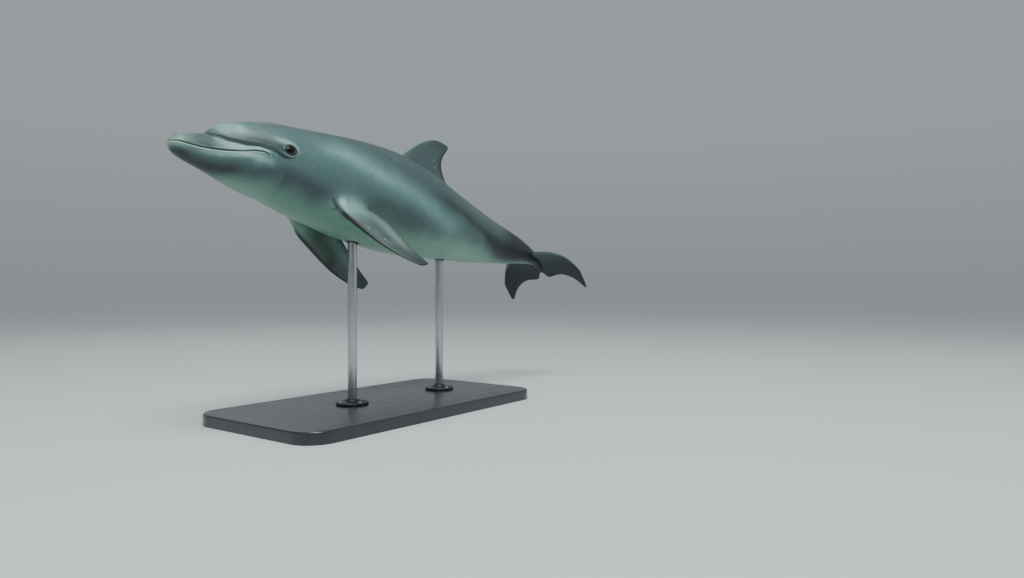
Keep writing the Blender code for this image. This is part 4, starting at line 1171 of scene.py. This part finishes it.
def glass_eye(side):
    held = eye_frame(side) @ Matrix.Translation((0, 0, -EYE_DEPTH))
    bm = bmesh.new()
    bmesh.ops.create_uvsphere(bm, u_segments=64, v_segments=40, radius=EYE_RADIUS)
    axis = bm.verts.layers.float.new("off_axis")
    turn = bm.verts.layers.float_vector.new("iris_at")
    for vert in bm.verts:
        vert[axis] = math.hypot(vert.co.x, vert.co.y * 1.12) / EYE_RADIUS + (1.0 if vert.co.z < 0 else 0.0)
        flat = Vector((vert.co.x, vert.co.y, 0)).normalized()
        vert[turn] = flat if vert[axis] > 1e-4 else Vector((0, 0, 0))
    bmesh.ops.scale(bm, vec=(1.0, EYE_TALL, EYE_FLATTEN), verts=bm.verts)
    bmesh.ops.transform(bm, matrix=held, verts=bm.verts)
    bmesh.ops.recalc_face_normals(bm, faces=bm.faces)
    word = "left" if side < 0 else "right"
    eye = as_object(f"glass_eye_{word}", bm)
    eye.data.shade_smooth()
    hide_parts(f"eye_{word}")
    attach(eye, "root")
    return eye


eye_glass, tree = new_material("blown_glass_eye")
off_axis = add(tree, "Attribute", attribute_name="off_axis").outputs["Fac"]
iris_at = add(tree, "Attribute", attribute_name="iris_at").outputs["Vector"]
fibres = add(tree, "TexNoise", {"Vector": iris_at, "Scale": 9.0, "Detail": 3.0})
fibres = add(tree, "MapRange", {0: fibres, 1: 0.3, 2: 0.7})
iris = add(tree, "Mix", {0: fibres, 6: colour("0a0807"), 7: colour("19120d")}, data_type="RGBA").outputs[2]
pupil = add(tree, "MapRange", {0: off_axis, 1: 0.30, 2: 0.36})
seen = add(tree, "Mix", {0: pupil, 6: colour("040506"), 7: iris}, data_type="RGBA").outputs[2]
white = add(tree, "MapRange", {0: off_axis, 1: 0.62, 2: 0.72})
seen = add(tree, "Mix", {0: white, 6: seen, 7: colour("0f0e0e")}, data_type="RGBA").outputs[2]
shader = add(tree, "BsdfPrincipled", {
    "Base Color": seen, "Roughness": 0.30, "IOR": 1.45, "Specular IOR Level": 0.28,
})
add(tree, "OutputMaterial", {"Surface": shader})
eyes = [glass_eye(side) for side in (-1, 1)]
for eye in eyes:
    eye.data.materials.append(eye_glass)
print("eyes", [len(eye.data.polygons) for eye in eyes], "faces each")

# %% [markdown]
# ## The display stand
# A flat plate of lacquered board carries two brushed steel rods, each in a turned flange screwed down with
# three countersunk screws. A thin collar closes the gap where a rod enters the belly.

# %% Tools for the stand's pieces
SHARP = math.radians(35)  # an edge that turns by more than this is sharp


def finished(name, bm, bevel=0.0, replaces=None):
    """Makes a bmesh an object of the stand, with its sharp edges bevelled by so many metres."""
    if bevel:
        sharp = [e for e in bm.edges if len(e.link_faces) == 2 and e.calc_face_angle() > SHARP]
        bmesh.ops.bevel(bm, geom=sharp, offset=bevel, segments=3, profile=0.5, affect="EDGES", material=-1)
    bmesh.ops.recalc_face_normals(bm, faces=bm.faces)
    made = as_object(name, bm)
    made.data.shade_smooth()
    made.data.set_sharp_from_angle(angle=SHARP)
    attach(made, "root")
    if replaces:
        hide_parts(replaces)
    return made


def turned(profile, steps=64):
    """Spins a closed profile of (radius, height) round the Z axis."""
    bm = bmesh.new()
    verts = [bm.verts.new((r, 0, z)) for r, z in profile]
    edges = [bm.edges.new((verts[i], verts[(i + 1) % len(verts)])) for i in range(len(verts))]
    bmesh.ops.spin(bm, geom=verts + edges, cent=(0, 0, 0), axis=(0, 0, 1), angle=2 * math.pi, steps=steps,
                   use_merge=True)
    bmesh.ops.remove_doubles(bm, verts=bm.verts, dist=1e-6)
    return bm


print("edges count as sharp from", round(math.degrees(SHARP)), "degrees")

# %% Base plate
BASE_CORNER, BASE_EDGE = 0.05, 0.0035  # metres: the corners' radius, and the rounding of the top edge
low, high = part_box("stand_base")
base_size = [high[k] - low[k] for k in range(3)]
middle = [(low[k] + high[k]) / 2 for k in range(3)]
bm = bmesh.new()
bmesh.ops.create_cube(bm, size=1, matrix=Matrix.Translation(middle) @ Matrix.Diagonal((*base_size, 1)))
corners = [e for e in bm.edges if abs(e.verts[0].co.z - e.verts[1].co.z) > base_size[2] / 2]
bmesh.ops.bevel(bm, geom=corners, offset=BASE_CORNER, segments=16, profile=0.5, affect="EDGES", material=-1)
top = [e for e in bm.edges if all(v.co.z > high[2] - 1e-5 for v in e.verts)]
bmesh.ops.bevel(bm, geom=top, offset=BASE_EDGE, segments=4, profile=0.5, affect="EDGES", material=-1)
base = finished("stand_base_plate", bm, replaces="stand_base")
print("base plate, mm:", [round(v * 1000) for v in base_size])

# %% Rods, flanges and screws
ROD_EDGE, FLANGE_GAP = 0.0006, 0.0003  # metres: the rods' bevel, and the gap round a rod in its flange
FLANGE_SCREWS, SCREW_CIRCLE, SCREW_SEAT = 3, 0.0225, 0.0048  # how many, how far out and how high up
SCREW_HEAD = ((0.0, 0.0), (0.0042, 0.0), (0.0042, 0.0006), (0.0036, 0.0013), (0.0021, 0.0015),
              (0.0019, 0.0004), (0.0, 0.0004))
stand_pieces = {"rod": [], "flange": [], "screw": [], "collar": []}
for end in ("front", "rear"):
    x, y, radius, rod_top = rod_axis(end)
    rod_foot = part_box("stand_rod_" + end)[0][2]
    bm = bmesh.new()
    bmesh.ops.create_cone(bm, cap_ends=True, segments=48, radius1=radius, radius2=radius,
                          depth=rod_top - rod_foot,
                          matrix=Matrix.Translation((x, y, (rod_top + rod_foot) / 2)))
    rod = finished(f"stand_steel_rod_{end}", bm, ROD_EDGE, replaces="stand_rod_" + end)
    stand_pieces["rod"].append(rod)

    low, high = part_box("stand_flange_" + end)
    wide, tall, bore = (high[0] - low[0]) / 2, high[2] - low[2], radius + FLANGE_GAP
    on_rod = Matrix.Translation((x, y, low[2]))
    bm = turned(((bore, 0.0), (wide - 0.0005, 0.0), (wide, 0.0006), (wide, 0.0034), (wide - 0.0010, 0.0046),
                 (0.0165, 0.0056), (0.0145, 0.0066), (0.0135, tall - 0.001), (0.0125, tall), (bore, tall)))
    bmesh.ops.transform(bm, matrix=on_rod, verts=bm.verts)
    flange = finished(f"stand_turned_flange_{end}", bm, replaces="stand_flange_" + end)
    stand_pieces["flange"].append(flange)

    third = 2 * math.pi / FLANGE_SCREWS
    first = Matrix.Rotation(third / 4, 4, "Z") @ Matrix.Translation((SCREW_CIRCLE, 0, SCREW_SEAT))
    bm = turned(SCREW_HEAD, 24)
    bmesh.ops.transform(bm, matrix=on_rod @ first, verts=bm.verts)
    screw = bm.verts[:] + bm.edges[:] + bm.faces[:]
    for i in range(1, FLANGE_SCREWS):
        copied = bmesh.ops.duplicate(bm, geom=screw)["geom"]
        copied = [v for v in copied if isinstance(v, bmesh.types.BMVert)]
        bmesh.ops.rotate(bm, cent=(x, y, 0), matrix=Matrix.Rotation(third * i, 3, "Z"), verts=copied)
    stand_pieces["screw"].append(finished(f"stand_screws_{end}", bm))
print("stand:", {kind: len(made) for kind, made in stand_pieces.items()})

# %% Collars where the rods enter the belly
COLLAR_RADIUS, COLLAR_GAP = 0.0017, 0.0002  # metres: half the collar's thickness, and the gap to the rod
for end in ("front", "rear"):
    x, y, radius, rod_top = rod_axis(end)
    off = points[:, :2] - (x, y)
    ring = abs(np.hypot(off[:, 0], off[:, 1]) - radius - BORE_GAP) < 0.0002
    ring &= points[:, 2] < rod_top - 0.01
    # The belly's slope round the hole, as a plane through the hole's edge.
    plane = np.column_stack((off[ring], np.ones(ring.sum())))
    slope = np.linalg.lstsq(plane, points[ring, 2], rcond=None)[0]
    middle = radius + COLLAR_GAP + COLLAR_RADIUS
    round_it = np.linspace(0, 2 * math.pi, 12, endpoint=False)
    bm = turned([(middle + COLLAR_RADIUS * math.cos(t), COLLAR_RADIUS * math.sin(t)) for t in round_it], 48)
    for vert in bm.verts:
        vert.co.z += float(slope[0]) * vert.co.x + float(slope[1]) * vert.co.y + float(slope[2])
    bmesh.ops.translate(bm, vec=(x, y, 0), verts=bm.verts)
    stand_pieces["collar"].append(finished(f"stand_collar_{end}", bm))
    print("collar", end, "on a belly at height", round(float(slope[2]), 3))

# %% [markdown]
# ## The stand's finishes
# The base is board under sprayed black lacquer, rubbed down to a silk gloss, so its finish is an
# orange-peel ripple about 2 mm across and a clear coat. The rods are stainless steel bar, brushed along
# their length. The flanges and collars are turned steel under a baked black powder coat, which leaves a
# satin skin with a grit of under a millimetre. The screws are zinc-plated.

# %% Silk black lacquer on the base
PEEL_MM, DUST_MM = 2.2, 26.0
lacquer, tree = new_material("silk_black_lacquer")
spot = add(tree, "TexCoord").outputs["Object"]
peel = add(tree, "TexNoise", {"Vector": spot, "Scale": 1000 / PEEL_MM, "Detail": 1.0})
wiped = add(tree, "TexNoise", {"Vector": spot, "Scale": 1000 / DUST_MM, "Detail": 4.0})
dusty = add(tree, "MapRange", {0: wiped, 1: 0.35, 2: 0.7})
tone = add(tree, "Mix", {0: dusty, 6: colour("1a1c1e"), 7: colour("24272a")}, data_type="RGBA").outputs[2]
rubbed = add(tree, "MapRange", {0: wiped, 1: 0.3, 2: 0.7, 3: 0.30, 4: 0.44})
bumped = add(tree, "Bump", {"Height": peel, "Strength": 0.12, "Distance": 0.0003})
shader = add(tree, "BsdfPrincipled", {
    "Base Color": tone, "Roughness": rubbed, "IOR": 1.5, "Normal": bumped,
    "Coat Weight": 0.5, "Coat Roughness": 0.16,
})
add(tree, "OutputMaterial", {"Surface": shader})
base.data.materials.append(lacquer)
print(lacquer.name, "has", len(tree.nodes), "nodes")

# %% Satin black powder coat on the flanges and collars
POWDER_MM = 0.8
powder_coat, tree = new_material("satin_black_powder_coat")
spot = add(tree, "TexCoord").outputs["Object"]
grit = add(tree, "TexNoise", {"Vector": spot, "Scale": 1000 / POWDER_MM, "Detail": 2.0})
wiped = add(tree, "TexNoise", {"Vector": spot, "Scale": 1000 / DUST_MM, "Detail": 3.0})
dusty = add(tree, "MapRange", {0: wiped, 1: 0.3, 2: 0.7})
tone = add(tree, "Mix", {0: dusty, 6: colour("1b1c1d"), 7: colour("27292a")}, data_type="RGBA").outputs[2]
rubbed = add(tree, "MapRange", {0: wiped, 1: 0.3, 2: 0.7, 3: 0.40, 4: 0.52})
bumped = add(tree, "Bump", {"Height": grit, "Strength": 0.3, "Distance": 0.0002})
shader = add(tree, "BsdfPrincipled", {"Base Color": tone, "Roughness": rubbed, "IOR": 1.5, "Normal": bumped})
add(tree, "OutputMaterial", {"Surface": shader})
for coated in stand_pieces["flange"] + stand_pieces["collar"]:
    coated.data.materials.append(powder_coat)
print(powder_coat.name, "has", len(tree.nodes), "nodes")

# %% Brushed stainless rods and zinc-plated screws
BRUSH_MM = 0.9  # across the brush marks, which are drawn coarser than they are, or they would not show


def steel(name, dark, light, stretch, rough):
    """Steel with fine tool marks: noise stretched along a brushed bar."""
    made, tree = new_material(name)
    spot = add(tree, "TexCoord").outputs["Object"]
    long_way = add(tree, "Mapping", {"Vector": spot, "Scale": stretch})
    marks = add(tree, "TexNoise", {"Vector": long_way, "Scale": 1000 / BRUSH_MM, "Detail": 3.0})
    stain = add(tree, "TexNoise", {"Vector": spot, "Scale": 1000 / DUST_MM, "Detail": 3.0})
    bright = add(tree, "MapRange", {0: marks, 1: 0.3, 2: 0.7})
    shine = add(tree, "Mix", {0: bright, 6: colour(dark), 7: colour(light)}, data_type="RGBA").outputs[2]
    bumped = add(tree, "Bump", {"Height": marks, "Strength": 0.15, "Distance": 0.0001})
    gloss = add(tree, "MapRange", {0: marks, 1: 0.3, 2: 0.7, 3: rough, 4: rough + 0.08})
    dulled = add(tree, "MapRange", {0: stain, 1: 0.3, 2: 0.7, 3: 0.0, 4: 0.06})
    gloss = add(tree, "Math", {0: gloss, 1: dulled}, operation="ADD")
    shader = add(tree, "BsdfPrincipled", {
        "Base Color": shine, "Metallic": 1.0, "Roughness": gloss, "Normal": bumped,
    })
    add(tree, "OutputMaterial", {"Surface": shader})
    return made


brushed = steel("brushed_stainless_bar", "a9acae", "c6c8c9", (1.0, 1.0, 0.03), 0.24)
zinc = steel("zinc_plated_screws", "8f9498", "b4b8ba", (1.0, 1.0, 1.0), 0.28)
for rod, screws in zip(stand_pieces["rod"], stand_pieces["screw"]):
    rod.data.materials.append(brushed)
    screws.data.materials.append(zinc)
print("finishes:", len(bpy.data.materials))

# %% [markdown]
# ## Floor, light and camera
# A plain pale floor runs out of sight under a pale grey sky. One big soft lamp hangs above and to the left,
# as daylight comes from the water's surface, a weaker one fills from the right, and a third from behind
# draws the back's outline. The camera stands low and level, a little below the animal, and takes in the
# same wide field as a diver's.

# %% Floor and sky
FLOOR_RADIUS, FLOOR_TONE, SKY_TONE, SKY_STRENGTH = 150.0, "dfe2e2", "cdd6da", 0.56
HORIZON_SHADE, HORIZON_FADE = 0.77, 0.22  # the sky by the floor is as dim as it, and clears higher up
bm = bmesh.new()
bmesh.ops.create_circle(bm, cap_ends=True, radius=FLOOR_RADIUS, segments=96)
floor = as_object("floor", bm)
matt, tree = new_material("matt_painted_floor")
shader = add(tree, "BsdfPrincipled", {"Base Color": colour(FLOOR_TONE), "Roughness": 0.7, "IOR": 1.45})
add(tree, "OutputMaterial", {"Surface": shader})
floor.data.materials.append(matt)

sky = bpy.data.worlds.new("pale_sky")
sky.use_nodes = True
sky.node_tree.nodes.clear()
bpy.context.scene.world = sky
upward = add(sky.node_tree, "TexCoord").outputs["Generated"]
upward = add(sky.node_tree, "SeparateXYZ", {0: upward}).outputs["Z"]
clear = add(sky.node_tree, "MapRange", {0: upward, 1: 0.0, 2: HORIZON_FADE, 3: HORIZON_SHADE, 4: 1.0})
clear = add(sky.node_tree, "Math", {0: clear, 1: SKY_STRENGTH}, operation="MULTIPLY")
backdrop = add(sky.node_tree, "Background", {"Color": colour(SKY_TONE), "Strength": clear})
add(sky.node_tree, "OutputWorld", {"Surface": backdrop})
print("sky over a floor of radius", FLOOR_RADIUS, "m")

# %% Lamps
CENTRE = (0.05, 0.0, 0.42)  # what the lamps are aimed at


def soft_lamp(name, place_at, size, watts, tone):
    lamp = bpy.data.lights.new(name, "AREA")
    lamp.shape, lamp.size, lamp.energy, lamp.color = "DISK", size, watts, colour(tone)[:3]
    held = bpy.data.objects.new(name, lamp)
    held.location = place_at
    held.rotation_euler = (Vector(CENTRE) - Vector(place_at)).to_track_quat("-Z", "Y").to_euler()
    bpy.context.scene.collection.objects.link(held)
    return held


lamps = [
    soft_lamp("surface_light", (-0.9, -1.1, 2.9), 1.6, 92, "f2f9fa"),
    soft_lamp("fill_light", (1.9, -2.2, 1.2), 2.0, 6, "eef4f6"),
    soft_lamp("outline_light", (0.9, 2.4, 2.2), 1.8, 7, "f6f8f8"),
]
print("lamps:", [lamp.name for lamp in lamps])

# %% Camera
EYE_POINT = Vector((-1.0274, -1.0648, 0.2508))  # metres; below the animal's middle and well above the floor
LOOK_ALONG, LENS_MM, SENSOR_MM = Vector((0.8137, 0.5813, 0.0)), 24.55, 36.0
camera = bpy.data.cameras.new("camera")
camera.lens, camera.sensor_width, camera.clip_start = LENS_MM, SENSOR_MM, 0.01
held = bpy.data.objects.new("camera", camera)
held.location = EYE_POINT
held.rotation_euler = LOOK_ALONG.to_track_quat("-Z", "Y").to_euler()
bpy.context.scene.collection.objects.link(held)
bpy.context.scene.camera = held
print("camera %.2f m from the eye" % (EYE_POINT - eye_frame(-1).translation).length)
